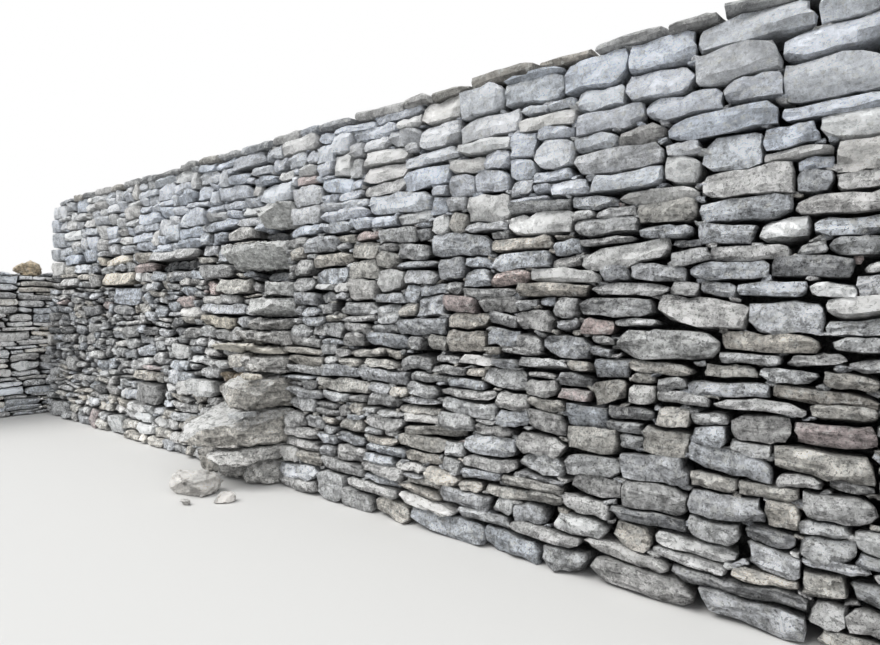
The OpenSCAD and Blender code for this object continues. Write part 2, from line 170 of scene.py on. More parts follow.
def plan(u0, u1, v0, v1, recipe, kept=(), seed=1):
    """Fills u0..u1 by v0..v1 with stones (u, v, width, height).

    recipe(u, v) gives a usual height, a usual length and the longest length
    there. kept lists rooms (ua, ub, va, vb) that hold no planned stone.
    """
    rng = random.Random(seed)
    n = int(round((u1 - u0) / STEP))
    top = [v0] * n
    joint = [True] + [False] * (n - 1) + [True]
    rooms = [
        (max(0, round((a - u0) / STEP)), min(n, round((b - u0) / STEP)), *levels)
        for a, b, *levels in kept
    ]
    stones = []
    while min(top) <= v1 - THINNEST:
        v = min(top)
        a = top.index(v)
        here = [r for r in rooms if r[0] <= a < r[1] and r[2] - THINNEST < v < r[3] - HAIR]
        if here:
            _, rb, rv0, rv1 = here[0]
            for c in range(a, rb):
                if rv0 - THINNEST < top[c] < rv1 - HAIR:
                    top[c] = rv1
            continue
        b = a + 1
        while b < n and abs(top[b] - v) < LEVEL:
            if any(ra == b and rv0 - THINNEST < v < rv1 for ra, rb, rv0, rv1 in rooms):
                break
            b += 1
        left = top[a - 1] - v if a > 0 else NO_SIDE
        right = top[b] - v if b < n else NO_SIDE
        lower = min(left, right)
        if b - a < 3 or lower < SHALLOW:
            for k in range(a, b):
                top[k] = v + min(max(lower, LEVEL), 0.2)
            continue
        tall, long, longest = recipe(u0 + a * STEP, v)
        h = tall * rng.uniform(0.6, 1.45)
        wide = (b - a) * STEP
        narrow = wide < 0.13
        if (0.03 if narrow else 0.5 * h) < lower < 1.6 * max(h, 0.6 * tall):
            h = lower if narrow or rng.random() < 0.85 else h
        elif 1.6 * h <= lower < 3.2 * h and rng.random() < 0.8:
            h = lower / round(lower / h)
        w = long * rng.uniform(0.5, 1.6) * (0.6 + 0.4 * h / tall)
        w = min(max(w, 0.8 * h, 0.10), longest)
        c = max(4, round(w / STEP))
        if b - a - c < LEAST:
            c = b - a if wide < longest * 1.15 else (b - a) // 2
        from_east = rng.random() < 0.5
        for shift in NUDGES:
            e = b - c - shift if from_east else a + c + shift
            spare = e - a if from_east else b - e
            near = joint[max(0, e - 2) : min(n, e + 3)]
            if c + shift >= 4 and (spare == 0 or spare >= LEAST) and not any(near):
                c = c + shift
                break
        s = b - c if from_east else a
        if c * STEP < 0.8 * h:
            h = max(0.03, 0.8 * c * STEP)
        lid = v1
        for ra, rb, rv0, rv1 in rooms:
            if ra < s + c and rb > s and rv0 > v + 0.011:
                lid = min(lid, rv0)
        if lid - v - h < LAST_BED:
            h = lid - v if lid - v < 2.0 * h else 0.5 * (lid - v)
        h = max(h, THINNEST)
        stones.append((u0 + s * STEP, v, c * STEP, h))
        for k in range(s, s + c):
            top[k] = v + h
            if k > s:
                joint[k] = False
        joint[s] = joint[min(n, s + c)] = True
    return stones

# %% [markdown]
# ## What each part of the face is like
#
# The photograph shows bigger and squarer blocks in the upper part, thin and
# dark rubble in the lower left part, and long thin slabs in the return wall.
# Slow noise varies the height of the courses from place to place, so that
# stretches of like stones form, as they do where a waller sorts the heap.

# %% Recipes for the stones' usual sizes
def drift(u, v, scale, seed):
    return noise.noise(Vector((u * scale, v * scale * 1.7, seed)))


def front_recipe(u, v):
    slow = drift(u, v, 0.9, 3.0)
    if v < FOOT - 0.01:
        return (0.13, 0.28, 0.50) if u < -1.3 else (0.17, 0.38, 0.60)
    if v < 1.0 and -0.1 < u < 1.8:
        return 0.082 + 0.02 * slow, 0.30, 0.56
    if v > 2.15 and u > -3.2:
        return 0.130 + 0.03 * slow, 0.34, 0.62
    if v > 2.15:
        return 0.112 + 0.02 * slow, 0.28, 0.52
    if v < 1.25 and u < -1.0:
        return 0.100 + 0.040 * slow, 0.27, 0.52
    return 0.102 + 0.036 * slow, 0.29, 0.58


def back_recipe(u, v):
    if v < FOOT - 0.01:
        return 0.20, 0.45, 0.62
    return 0.115 + 0.035 * drift(u, v, 0.8, 9.0), 0.31, 0.60


def return_recipe(u, v):
    return 0.086 + 0.03 * drift(u, v, 1.2, 15.0), 0.34, 0.66


# %% [markdown]
# ## Squared work and rubble
#
# The front is not equally rough all over. High up and to the east its
# stones are nearly square; low down and west of the stub they are broken
# rubble. One number for each place says how rough it is, and the choice
# of the stones and their turns read it.

# %% How rough the front is
def rubble(u, v):
    """0 where the front is squared work, 1 where it is rough rubble."""
    low = min(1.0, max(0.0, (2.2 - v) / 0.6))
    west = min(1.0, max(0.0, (0.1 - u) / 0.8))
    return low * (0.22 + 0.50 * west)


print("rubble at the lower left:", rubble(-3, 1), "upper right:", rubble(3, 2.6))

# %% [markdown]
# ## Stones that are known by sight
#
# Some stones of the front catch the eye: three cream ones, a few large
# blue-grey blocks, a pinkish stone on end at the foot, and three hollows where
# stones have fallen out. They are given their places first, and the planner
# fills in round them. The stub's own stones keep their sockets clear too.

# %% Rooms that are taken before the planning
# West end, east end, bottom, top, colour, how far it stands proud
KNOWN = [
    (-3.96, -3.80, 2.02, 2.13, "cream", 0.010),
    (-3.80, -3.14, 2.01, 2.12, "cream", 0.000),
    (-3.94, -2.96, 1.75, 1.91, "cream", 0.012),
    (-3.50, -2.86, 1.54, 1.74, "blue", 0.000),
    (-4.58, -4.04, 2.06, 2.24, "blue", 0.000),
    (-4.27, -3.97, 1.92, 2.02, "blue", 0.000),
    (-2.00, -1.60, 2.54, 2.67, "blue", 0.020),
    (-0.96, -0.50, 2.76, 2.90, "blue", 0.010),
    (-1.08, -0.74, 2.62, 2.75, "blue", 0.020),
    (-0.66, -0.30, 2.58, 2.68, "blue", 0.010),
    (-0.40, -0.16, 2.66, 2.78, "blue", 0.000),
    (-0.02, 0.24, 2.50, 2.58, "pink", 0.000),
    (-1.04, -0.62, 2.10, 2.23, "pale", 0.010),
    (-1.43, -0.91, 2.23, 2.32, "blue", 0.010),
    (-1.37, -1.06, 2.10, 2.22, "blue", 0.010),
    (-1.22, -0.94, 1.92, 2.09, "cool", 0.000),
    (-1.46, -0.93, 1.77, 1.91, "grey", 0.030),
    (-1.18, -0.62, 1.62, 1.76, "warmgrey", 0.030),
    (-1.43, -1.13, 1.52, 1.61, "pale", 0.000),
    (-1.12, -0.82, 1.52, 1.61, "grey", 0.010),
    (-1.46, -0.73, 1.42, 1.52, "cool", 0.010),
    (-1.48, -0.86, 1.31, 1.42, "warm", 0.020),
    (-1.45, -1.22, 1.19, 1.30, "pale", 0.020),
    (-1.22, -0.92, 1.19, 1.30, "grey", 0.010),
    (-1.40, -1.16, 0.92, 1.00, "pale", 0.030),
    (-1.16, -0.90, 0.92, 1.00, "pale", 0.040),
    (-1.10, -0.90, 0.80, 0.91, "brown", 0.010),
    (-0.90, -0.70, 0.80, 0.90, "brown", 0.020),
    (-3.90, -3.62, 0.44, 0.56, "dark", 0.045),
    (-4.96, -4.54, 0.64, 0.84, "grey", 0.030),
    (-4.10, -3.86, 0.00, 0.24, "pink", 0.020),
    (-1.60, -1.14, 0.64, 0.80, "pale", 0.090),
    (-2.80, -2.22, 0.44, 0.68, "grey", 0.070),
    (-2.60, -1.50, 1.99, 2.09, "grey", 0.060),
]
HOLLOWS = [
    (-2.52, -1.58, 1.88, 1.99),
    (-0.60, -0.10, 2.075, 2.165),
    (-0.56, -0.12, 1.725, 1.815),
]
# The stub's sockets, a little longer than the tails that fill them
PLAY = 0.005
SOCKETS = []
for node in [n for n in frame["nodes"] if n.startswith("stub_")]:
    low, high = (Vector(c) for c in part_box(node))
    corners = frame["nodes"][node].data.vertices
    tail = [v.co.z for v in corners if v.co.y > high.y - 0.01]
    SOCKETS.append((low.x - PLAY, high.x + PLAY, min(tail), max(tail)))
print("sockets:", len(SOCKETS))

# %% [markdown]
# ## Long and short stones at the free ends
#
# An end of a wall is closed with bigger, squarer stones, laid long and short
# by turns so that they tooth into the courses. Their beds differ in height, and
# their rooms are kept free in the plans of both faces.

# %% Beds and rooms of the end stones
LONG, SHORT = 0.50, 0.28


def end_beds(v0, v1, usual, seed):
    rng = random.Random(seed)
    n = round((v1 - v0) / usual)
    parts = [rng.uniform(0.7, 1.3) for _ in range(n)]
    marks = [v0 + (v1 - v0) * sum(parts[:i]) / sum(parts) for i in range(n + 1)]
    return list(zip(marks, marks[1:]))


def end_length(i):
    return LONG if i % 2 == 0 else SHORT


def end_rooms(beds, edge, inward, first=0):
    """The end stones' rooms in one face. inward is 1 or -1, the way in."""
    rooms = []
    for i, (a, b) in enumerate(beds):
        inner = edge + inward * end_length(i + first)
        rooms.append((min(edge, inner), max(edge, inner), a, b))
    return rooms


east_beds = [(0.0, FOOT)] + end_beds(FOOT, TOP, 0.225, 1)
west_beds = end_beds(RETURN_TOP, TOP, 0.19, 4)
south_beds = [(0.0, FOOT)] + end_beds(FOOT, RETURN_TOP, 0.18, 3)
east_front = end_rooms(east_beds, EAST, -1)
east_back = end_rooms(east_beds, -EAST, 1, first=1)
west_front = end_rooms(west_beds, WEST, 1)
west_back = end_rooms(west_beds, -WEST, -1, first=1)
south_in = end_rooms(south_beds, RETURN_SOUTH, 1)
south_out = end_rooms(south_beds, -RETURN_SOUTH, -1, first=1)

front_rooms = [k[:4] for k in KNOWN] + HOLLOWS + SOCKETS + east_front + west_front
back_rooms = east_back + west_back
front_foot = plan(WEST, EAST, 0.0, FOOT, front_recipe, front_rooms, seed=11)
front_plan = plan(WEST, EAST, FOOT, TOP, front_recipe, front_rooms, seed=12)
hollow_plan = [c for room in HOLLOWS for c in plan(*room, front_recipe, seed=13)]
back_foot = plan(-EAST, -WEST, 0.0, FOOT, back_recipe, back_rooms, seed=21)
back_plan = plan(-EAST, -WEST, FOOT, TOP, back_recipe, back_rooms, seed=22)
inner_plan = plan(RETURN_SOUTH, -0.19, 0.0, RETURN_TOP, return_recipe, south_in, 31)
outer_plan = plan(-HALF, -RETURN_SOUTH, 0.0, RETURN_TOP, return_recipe, south_out, 32)
north_plan = plan(-WEST, -WEST + RETURN_T - 0.01, 0.0, RETURN_TOP, return_recipe, (), 33)
print("front:", len(front_foot) + len(front_plan), "back:", len(back_foot) + len(back_plan))
print("return:", len(inner_plan), len(outer_plan), len(north_plan))

# %% [markdown]
# ## The colours of the stones
#
# Weathered limestone is a cool grey that turns bluish where rain washes it
# and almost black where water runs; fresh breaks are cream or pinkish. Each
# stone gets one of these, nudged a little, and carries it as an attribute
# that the material reads. Picking from a few named colours keeps the wall
# quiet, where free random colours would make it look like confetti.

# %% Named stone colours
STONE = {
    "blue": (0.545, 0.580, 0.640),
    "cool": (0.530, 0.552, 0.585),
    "grey": (0.515, 0.520, 0.525),
    "warmgrey": (0.520, 0.502, 0.468),
    "dark": (0.280, 0.288, 0.300),
    "pale": (0.740, 0.745, 0.742),
    "cream": (0.880, 0.830, 0.735),
    "pink": (0.540, 0.465, 0.455),
    "warm": (0.630, 0.580, 0.495),
    "brown": (0.365, 0.300, 0.220),
}

# no channel of a stone's colour goes above this
PALEST = 0.90


def stone_colour(name, rng, bright=1.0):
    k = bright * rng.uniform(0.92, 1.24)
    shift = rng.uniform(-0.02, 0.02)
    r, g, b = STONE[name]
    k = min(k, PALEST / max(r, g, b))
    return (r * k * (1 + shift), g * k, b * k * (1 - shift), 1.0)


def mixed(rng, bright, **shares):
    """A stone's colour, its name drawn by the shares of a mixture."""
    name = rng.choices(list(shares), weights=list(shares.values()))[0]
    return stone_colour(name, rng, bright)


def front_colour(u, v, rng):
    if v > 2.1 and u < -3:
        return mixed(rng, 1.30, blue=20, cool=40, grey=30, pale=8)
    if v > 2.1:
        return mixed(rng, 1.44, blue=42, cool=40, grey=8, pale=8)
    if v < 1.35 and u > 0.0:
        return mixed(rng, 1.0, grey=40, cool=22, warmgrey=26, pale=7, dark=3, pink=2)
    if v < 0.7:
        return mixed(rng, 1.34, grey=44, cool=12, warmgrey=24, pale=18, pink=2)
    if v < 1.35 and u < -1.2 and drift(u, v, 0.7, 40.0) > -0.12:
        return mixed(rng, 0.98, grey=48, cool=18, dark=14, pale=20)
    return mixed(rng, 1.12, cool=33, grey=33, warmgrey=14, pale=13, dark=4, pink=3)


def cover_colour(rng):
    return mixed(rng, 0.80, cool=30, grey=46, warmgrey=16, blue=8)


def back_colour(u, v, rng):
    return mixed(rng, 0.96, cool=34, grey=36, blue=12, warmgrey=10, pale=6, pink=2)


# Painted light: the inner face looks away from the main lamp, so its stones are painted brighter, 1.52
# against 0.95 on the outer face.
def return_colour(u, v, rng, bright=1.52):
    return mixed(rng, bright, grey=46, warmgrey=26, cool=14, dark=4, pale=10)


def outer_colour(u, v, rng):
    return return_colour(u, v, rng, 0.95)


# %% [markdown]
# ## The heap of rough stones
#
# A face stone shows only its front, so it is a small grid that is drawn in at
# the corners, rounded over its edge, and closed by a narrower tail. A few
# flat chips are then knocked off it. A sphere pushed about by noise would
# look like a pebble: split limestone has flats and sharp edges. End stones
# and cover stones show more sides, so they are made from a block instead.

# %% Knock chips off a shape
def cut_down(points, n, limit):
    """All that stands beyond a plane is brought down to it."""
    for p in points:
        over = p.dot(n) - limit
        if over > 0:
            p -= n * over


def knock(points, rng, chips, least, most, facing=None):
    for _ in range(chips):
        n = Vector((rng.uniform(-1, 1), rng.uniform(-1, 1), rng.uniform(-1, 1)))
        if facing is not None:
            n.y = facing * rng.uniform(0.25, 1.0)
        n.normalize()
        reach = max(p.dot(n) for p in points)
        cut_down(points, n, reach * rng.uniform(least, most))


def as_mesh(name, points, faces, relief):
    mesh = bpy.data.meshes.new(name)
    mesh.from_pydata([tuple(p) for p in points], [], faces)
    # relief is 1 on a stone's front and low deep in the joints; the material paints shade from it
    layer = mesh.attributes.new("relief", "FLOAT", "POINT")
    layer.data.foreach_set("value", relief)
    bm = bmesh.new()
    bm.from_mesh(mesh)
    bmesh.ops.recalc_face_normals(bm, faces=bm.faces)
    bm.to_mesh(mesh)
    bm.free()
    return mesh


# %% A stone seen from the front
def cut_off(slope, along):
    """How much of an edge is missing at a place between -0.5 and 0.5."""
    return abs(slope) * (0.5 + math.copysign(along, slope * along) if slope else 0.5)


def face_stone(name, nx, nz, seed, rough):
    """A grid front with jagged rim, two rings behind it and a closed tail.

    rough, from 0 to 1, is how far its edges slope and its front is broken.
    """
    rng = random.Random(seed)
    top, bed = 0.45 * rough * rng.uniform(-1, 1), 0.18 * rough * rng.uniform(-1, 1)
    ends = [0.30 * rough * rng.uniform(-1, 1) for _ in range(2)]
    cut = [rng.choice((0.0, 0.0, 0.02, 0.05, 0.13)) for _ in range(4)]
    lean_x, lean_z = rng.uniform(-0.07, 0.07), rng.uniform(-0.10, 0.10)
    ledge = rng.randrange(1, nz + 1)
    step = rng.uniform(-0.05, 0.05)
    points, relief, grid = [], [], {}
    for j in range(nz + 1):
        for i in range(nx + 1):
            x, z = i / nx - 0.5, j / nz - 0.5
            rim = i in (0, nx) or j in (0, nz)
            tip = i in (0, nx) and j in (0, nz)
            if tip:
                c = cut[(i > 0) + 2 * (j > 0)]
                x *= 1 - 1.2 * c
                z *= 1 - 1.6 * c
            x, z = x * (1 - cut_off(ends[x > 0], z)), z * (1 - cut_off(top if z > 0 else bed, x))
            if rim:
                x *= 1 - rng.uniform(0.0, 0.035)
                z *= 1 - rng.uniform(0.0, 0.10)
            if 0 < i < nx:
                x += rng.uniform(-0.35, 0.35) / nx
            if 0 < j < nz:
                z += rng.uniform(-0.30, 0.30) / nz
            y = -0.5 + (rng.uniform(0.02, 0.12) if rim else rng.uniform(0.0, 0.06 + 0.07 * rough))
            y += lean_x * x + lean_z * z + (step if j >= ledge else 0.0) + 0.05
            grid[i, j] = len(points)
            points.append(Vector((x, y, z)))
            # relief for the material's painted shade: the rim a little darker than the front
            relief.append(0.72 if rim else rng.uniform(0.82, 1.0))
    knock(points, rng, 4 + round(3 * rough), 0.84 - 0.08 * rough, 0.97, facing=-1)
    rim = [(i, 0) for i in range(nx)] + [(nx, j) for j in range(nz)]
    rim += [(i, nz) for i in range(nx, 0, -1)] + [(0, j) for j in range(nz, 0, -1)]
    rings = [[grid[c] for c in rim]]
    # the rings behind the front get a low relief: painted shade on the stone's sides deep in the joints
    for y, grow, shade in ((-0.22, 1.03, 0.2), (0.5, 0.86, 0.0)):
        ring = []
        for c in rim:
            p = points[grid[c]]
            x = max(-0.5, min(0.5, p.x * grow))
            z = max(-0.5, min(0.5, p.z * grow))
            ring.append(len(points))
            points.append(Vector((x, y + rng.uniform(-0.03, 0.03), z)))
            relief.append(shade)
        rings.append(ring)
    faces = [
        (grid[i, j], grid[i + 1, j], grid[i + 1, j + 1], grid[i, j + 1])
        for i in range(nx)
        for j in range(nz)
    ]
    m = len(rim)
    for a, b in zip(rings, rings[1:]):
        faces += [(a[k], b[k], b[(k + 1) % m], a[(k + 1) % m]) for k in range(m)]
    faces.append(tuple(rings[-1][::-1]))
    return as_mesh(name, points, faces, relief)


# %% A block seen from several sides
# the higher, the squarer a block is; 2 would make it a ball
SQUARE = 14.0


def block(name, nx, ny, nz, seed):
    rng = random.Random(seed)
    size = (nx, ny, nz)
    points, index = [], {}

    def corner(i, j, k):
        if (i, j, k) not in index:
            p = Vector((i / nx - 0.5, j / ny - 0.5, k / nz - 0.5))
            far = sum(abs(2 * c) ** SQUARE for c in p) ** (1 / SQUARE)
            p *= 1.0 / max(far, 1e-6) * max(abs(2 * c) for c in p)
            p *= 1 - rng.uniform(0.0, 0.045)
            index[i, j, k] = len(points)
            points.append(p)
        return index[i, j, k]

    faces = []
    for axis in range(3):
        a, b = [k for k in range(3) if k != axis]
        for level in (0, size[axis]):
            for i in range(size[a]):
                for j in range(size[b]):
                    quad = []
                    for di, dj in ((0, 0), (1, 0), (1, 1), (0, 1)):
                        c = [0, 0, 0]
                        c[axis], c[a], c[b] = level, i + di, j + dj
                        quad.append(corner(*c))
                    faces.append(tuple(quad))
    knock(points, rng, 6, 0.84, 0.96)
    return as_mesh(name, points, faces, [1.0] * len(points))


# %% [markdown]
# ## Two heaps
#
# One heap holds face stones, long and square, neat and rough, so that a place
# can ask for its own sort. The other holds blocks for the ends and the top.

# %% Fill the heaps
def heap(name, meshes):
    pile = bpy.data.collections.new(name)
    for mesh in meshes:
        pile.objects.link(bpy.data.objects.new(mesh.name, mesh))
    return pile


# Of each sort: how many, faces along it, faces up it, how rough
SORTS = {
    "neat long": (8, 6, 3, 0.15),
    "neat square": (5, 4, 4, 0.15),
    "rough long": (8, 6, 3, 0.75),
    "rough square": (6, 4, 4, 0.75),
}
face_stones, first_of = [], {}
for sort, (count, nx, nz, rough) in SORTS.items():
    first_of[sort] = len(face_stones)
    for _ in range(count):
        k = len(face_stones)
        face_stones.append(face_stone(f"face_stone_{k:02d}", nx, nz, 100 + k, rough))
face_heap = heap("face stones", face_stones)
BLOCK_KINDS = 8
block_heap = heap(
    "blocks", [block(f"block_{k:02d}", 5, 4, 3, 300 + k) for k in range(BLOCK_KINDS)]
)

# %% [markdown]
# ## The stone's surface
#
# Old limestone is matt, with dark pits, pale crusts and rosettes of lichen,
# and black stains. Painted shade darkens each stone where its relief
# attribute is low, on its sides deep in the joints and in its hollows, and
# painted light and shade make faces that look up paler and undersides darker.
# The marks are noise on Object coordinates, in metres, from patches a metre
# wide down to grains of a centimetre. The bump repeats the finer scales, so
# that close to the eye the stone is pitted and not smooth. High up, where rain
# has washed the wall, and on the palest stones, the mottling, the beds, the
# pits, the black stains and the painted shade in the joints are weaker. An
# image would show its repeats over a wall this long.

# %% One helper for all nodes
def add_node(group, kind, inputs=(), **settings):
    """A new node with its settings made, and its inputs set or wired."""
    node = group.nodes.new(kind)
    for key, value in settings.items():
        setattr(node, key, value)
    for key, value in dict(inputs).items():
        if isinstance(value, bpy.types.NodeSocket):
            group.links.new(value, node.inputs[key])
        else:
            node.inputs[key].default_value = value
    return node


# %% A limestone material
# The first colour is the carved stones' pale side: partly weathered crust, partly painted light.
CRUST_AND_LIGHT = (0.84, 0.845, 0.84, 1)
LICHEN = (0.82, 0.83, 0.81, 1)
ROSETTE = (0.85, 0.86, 0.83, 1)
BLACK = (0.060, 0.060, 0.058, 1)


def limestone(name, colour=None, crust=0.55, stain=0.55, sides=0.28, contrast=1.0):
    """crust, stain: how strong the pale lichen and the black stains are.
    sides: how dark painted shade makes the stone where its relief attribute is 0.
    contrast: how much the mottling, the beds and the pits show.
    """
    mat = bpy.data.materials.new(name)
    mat.use_nodes = True
    mat.node_tree.nodes.clear()

    def add(kind, inputs=(), **settings):
        return add_node(mat.node_tree, kind, inputs, **settings)

    where = add("ShaderNodeTexCoord").outputs["Object"]
    layers = add("ShaderNodeMapping", {"Scale": (1.0, 1.0, 6.0), "Vector": where})
    normal = add("ShaderNodeNewGeometry").outputs["Normal"]
    upward = add("ShaderNodeSeparateXYZ", {"Vector": normal}).outputs["Z"]
    height = add("ShaderNodeSeparateXYZ", {"Vector": where}).outputs["Z"]

    def grain(scale, detail, rough=0.6, warp=0.0, flat=False):
        inputs = {"Scale": scale, "Detail": detail, "Roughness": rough, "Distortion": warp}
        inputs["Vector"] = layers.outputs["Vector"] if flat else where
        return add("ShaderNodeTexNoise", inputs).outputs["Fac"]

    def ramp(value, low, high, a=0.0, b=1.0):
        inputs = {"Value": value, "From Min": low, "From Max": high, "To Min": a, "To Max": b}
        return add("ShaderNodeMapRange", inputs).outputs["Result"]

    def maths(operation, *values):
        return add("ShaderNodeMath", enumerate(values), operation=operation).outputs["Value"]

    def tipped(value, share):
        """The value, raised on faces that look up and lowered on undersides."""
        return maths("MULTIPLY_ADD", upward, share, value)

    def blend(kind, factor, one, two):
        """The node's inputs 0, 6 and 7 and its output 2 are those for colours."""
        inputs = {0: factor, 6: one, 7: two}
        return add("ShaderNodeMix", inputs, data_type="RGBA", blend_type=kind).outputs[2]

    def attribute(label, output="Fac"):
        return add("ShaderNodeAttribute", attribute_name=label).outputs[output]

    base = attribute("stone_colour", "Color") if colour is None else (*colour, 1)
    calm = ramp(height, 1.9, 2.5, contrast, 0.5 * contrast)
    if colour is None:
        calm = maths("MULTIPLY", calm, ramp(attribute("stone_colour"), 0.78, 0.88, 1.0, 0.6))
    weather = grain(0.9, 3.0, 0.5)
    patches = grain(3.6, 6.0, 0.66, 0.5)
    mottle = grain(17.0, 8.0, 0.74, 0.3)
    pits = grain(64.0, 5.0, 0.75)
    beds = grain(5.0, 7.0, 0.66, 0.3, flat=True)
    value = blend("MULTIPLY", 1.0, base, ramp(weather, 0.36, 0.64, 0.86, 1.16))
    value = blend("MULTIPLY", 1.0, value, ramp(patches, 0.36, 0.64, 0.82, 1.40))
    # The carved stones' pale side: partly weathered crust, partly painted light.
    value = blend("MIX", attribute("crusted"), value, CRUST_AND_LIGHT)
    value = blend("MULTIPLY", calm, value, ramp(mottle, 0.40, 0.60, 0.62, 1.55))
    value = blend("MULTIPLY", calm, value, ramp(beds, 0.40, 0.45, 0.58, 1.04))
    # Painted light and shade: faces that look up are painted paler, up to 1.14 times, and undersides
    # darker, down to 0.70 times.
    value = blend("MULTIPLY", 1.0, value, ramp(upward, -0.6, 0.7, 0.70, 1.14))
    pale = ramp(tipped(grain(26.0, 9.0, 0.80, 0.6), 0.06), 0.53, 0.58, 0.0, crust)
    value = blend("MIX", pale, value, LICHEN)
    cells = add("ShaderNodeTexVoronoi", {"Scale": 15.0, "Vector": where}).outputs["Distance"]
    rosette = ramp(maths("MULTIPLY_ADD", pits, 0.9, cells), 0.66, 0.60, 0.0, crust)
    value = blend("MIX", rosette, value, ROSETTE)
    black = ramp(tipped(grain(19.0, 9.0, 0.80, 0.5), -0.05), 0.54, 0.59, 0.0, stain)
    value = blend("MIX", maths("MULTIPLY", black, calm), value, BLACK)
    value = blend("MULTIPLY", calm, value, ramp(pits, 0.38, 0.46, 0.36, 1.06))
    # Painted shade: the lower the relief attribute, the darker, deep in the joints and in the stone's
    # hollows.
    value = blend("MULTIPLY", calm, value, ramp(attribute("relief"), 0.1, 0.9, sides, 1.0))
    inputs = {"Base Color": value, "Roughness": 0.92, "Specular IOR Level": 0.25}
    for wave, strength, distance in (
        (beds, 0.6, 0.030),
        (mottle, 1.0, 0.045),
        (grain(38.0, 6.0, 0.70), 1.0, 0.022),
        (pits, 0.8, 0.010),
    ):
        bump = {"Height": wave, "Strength": strength, "Distance": distance}
        if "Normal" in inputs:
            bump["Normal"] = inputs["Normal"]
        inputs["Normal"] = add("ShaderNodeBump", bump).outputs["Normal"]
    shader = add("ShaderNodeBsdfPrincipled", inputs)
    add("ShaderNodeOutputMaterial", {"Surface": shader.outputs["BSDF"]})
    return mat


# %% [markdown]
# ## Nine kinds of stone from one recipe
#
# The first two read each stone's own colour. The third is near black: painted
# shade for the core that is seen only through the joints. The others are for
# single stones and have a colour of their own: clean breaks have less crust,
# stain and mottling than old faces.

# %% The materials
wall_limestone = limestone("weathered limestone")
end_limestone = limestone("squared limestone", sides=1.0)
# Painted shade: the core is near black because it is seen only in the shade of the joints.
core_in_painted_shade = limestone("packed small stones", (0.10, 0.10, 0.098), crust=0.1, sides=1.0)
boulder_limestone = limestone("pale boulder limestone", (0.70, 0.675, 0.63), 0.3, 0.5, 0.35, 0.9)
fallen_limestone = limestone("freshly fallen limestone", (0.93, 0.90, 0.86), 0.3, 0.12, 0.85, 0.36)
stub_limestone = limestone("broken grey limestone", (0.76, 0.75, 0.73), 0.4, 0.6, 0.35)
pale_limestone = limestone("pale broken limestone", (0.80, 0.81, 0.80), 0.4, 0.4, 0.5, 0.8)
cream_limestone = limestone("cream limestone", (0.96, 0.925, 0.83), 0.1, 0.0, 1.0, 0.15)
brown_limestone = limestone("brown weathered stone", (0.64, 0.53, 0.38), 0.3, 0.5, 0.4)
print("materials:", len(bpy.data.materials))

# %% [markdown]
# ## Laying the stones with Geometry Nodes
#
# Each planned place becomes a point that knows the size, the turn, the kind
# and the colour of its stone. The nodes put a stone from the heap on every
# point, make the copies real, and then move all their corners with three
# noises: a slow one, which makes the bed lines wander, and two quick ones,
# which make every copy different from its fellows. Their pattern depends on
# place only, so that neighbours give way to each other and the joints stay
# open; how far a stone is moved is its own. Laying by a loop in Python would
# give the same, but could not be changed by turning a value.

# %% The nodes that lay
def laying_nodes():
    group = bpy.data.node_groups.new("lay stones", "GeometryNodeTree")
    sockets = {}
    for label, kind in (
        ("Places", "Geometry"),
        ("Heap", "Collection"),
        ("Wander", "Float"),
        ("Knocks", "Float"),
        ("Grit", "Float"),
        ("Seed", "Float"),
        ("Finish", "Material"),
    ):
        sockets[label] = group.interface.new_socket(
            label, in_out="INPUT", socket_type="NodeSocket" + kind
        )
    group.interface.new_socket("Stones", in_out="OUTPUT", socket_type="NodeSocketGeometry")

    def add(kind, inputs=(), **settings):
        return add_node(group, kind, inputs, **settings)

    def read(label, kind):
        n = add("GeometryNodeInputNamedAttribute", {"Name": label}, data_type=kind)
        return n.outputs["Attribute"]

    given = add("NodeGroupInput").outputs
    info = add("GeometryNodeCollectionInfo", {
        "Collection": given["Heap"],
        "Separate Children": True,
        "Reset Children": True,
    })
    turn = add("FunctionNodeEulerToRotation", {"Euler": read("turn", "FLOAT_VECTOR")})
    lay = add("GeometryNodeInstanceOnPoints", {
        "Points": given["Places"],
        "Instance": info.outputs["Instances"],
        "Pick Instance": True,
        "Instance Index": read("kind", "INT"),
        "Rotation": turn.outputs["Rotation"],
        "Scale": read("size", "FLOAT_VECTOR"),
    })
    last = add("GeometryNodeRealizeInstances", {"Geometry": lay.outputs["Instances"]})
    place = add("GeometryNodeInputPosition").outputs["Position"]
    for label, scale, detail in (("Wander", 0.75, 1.0), ("Knocks", 6.5, 2.0), ("Grit", 24.0, 2.0)):
        inputs = {"Scale": scale, "Detail": detail, "Vector": place, "W": given["Seed"]}
        wave = add("ShaderNodeTexNoise", inputs, noise_dimensions="4D").outputs["Color"]
        centred = add("ShaderNodeVectorMath", {0: wave, 1: (0.5, 0.5, 0.5)}, operation="SUBTRACT")
        share = 1.0 if label == "Wander" else read("rough", "FLOAT")
        strength = add("ShaderNodeMath", {0: given[label], 1: share}, operation="MULTIPLY")
        inputs = {0: centred.outputs["Vector"], "Scale": strength.outputs["Value"]}
        scaled = add("ShaderNodeVectorMath", inputs, operation="SCALE").outputs["Vector"]
        inputs = {"Geometry": last.outputs["Geometry"], "Offset": scaled}
        last = add("GeometryNodeSetPosition", inputs)
    inputs = {"Geometry": last.outputs["Geometry"], "Material": given["Finish"]}
    last = add("GeometryNodeSetMaterial", inputs)
    add("NodeGroupOutput", {"Stones": last.outputs["Geometry"]})
    return group, {label: socket.identifier for label, socket in sockets.items()}


laying, inputs = laying_nodes()
print("inputs of the laying nodes:", inputs)


# %% Turn places into a laid piece
Place = namedtuple("Place", "centre size turn kind colour rough", defaults=(1.0,))
GRIT = 0.035
SHARP = math.radians(19)


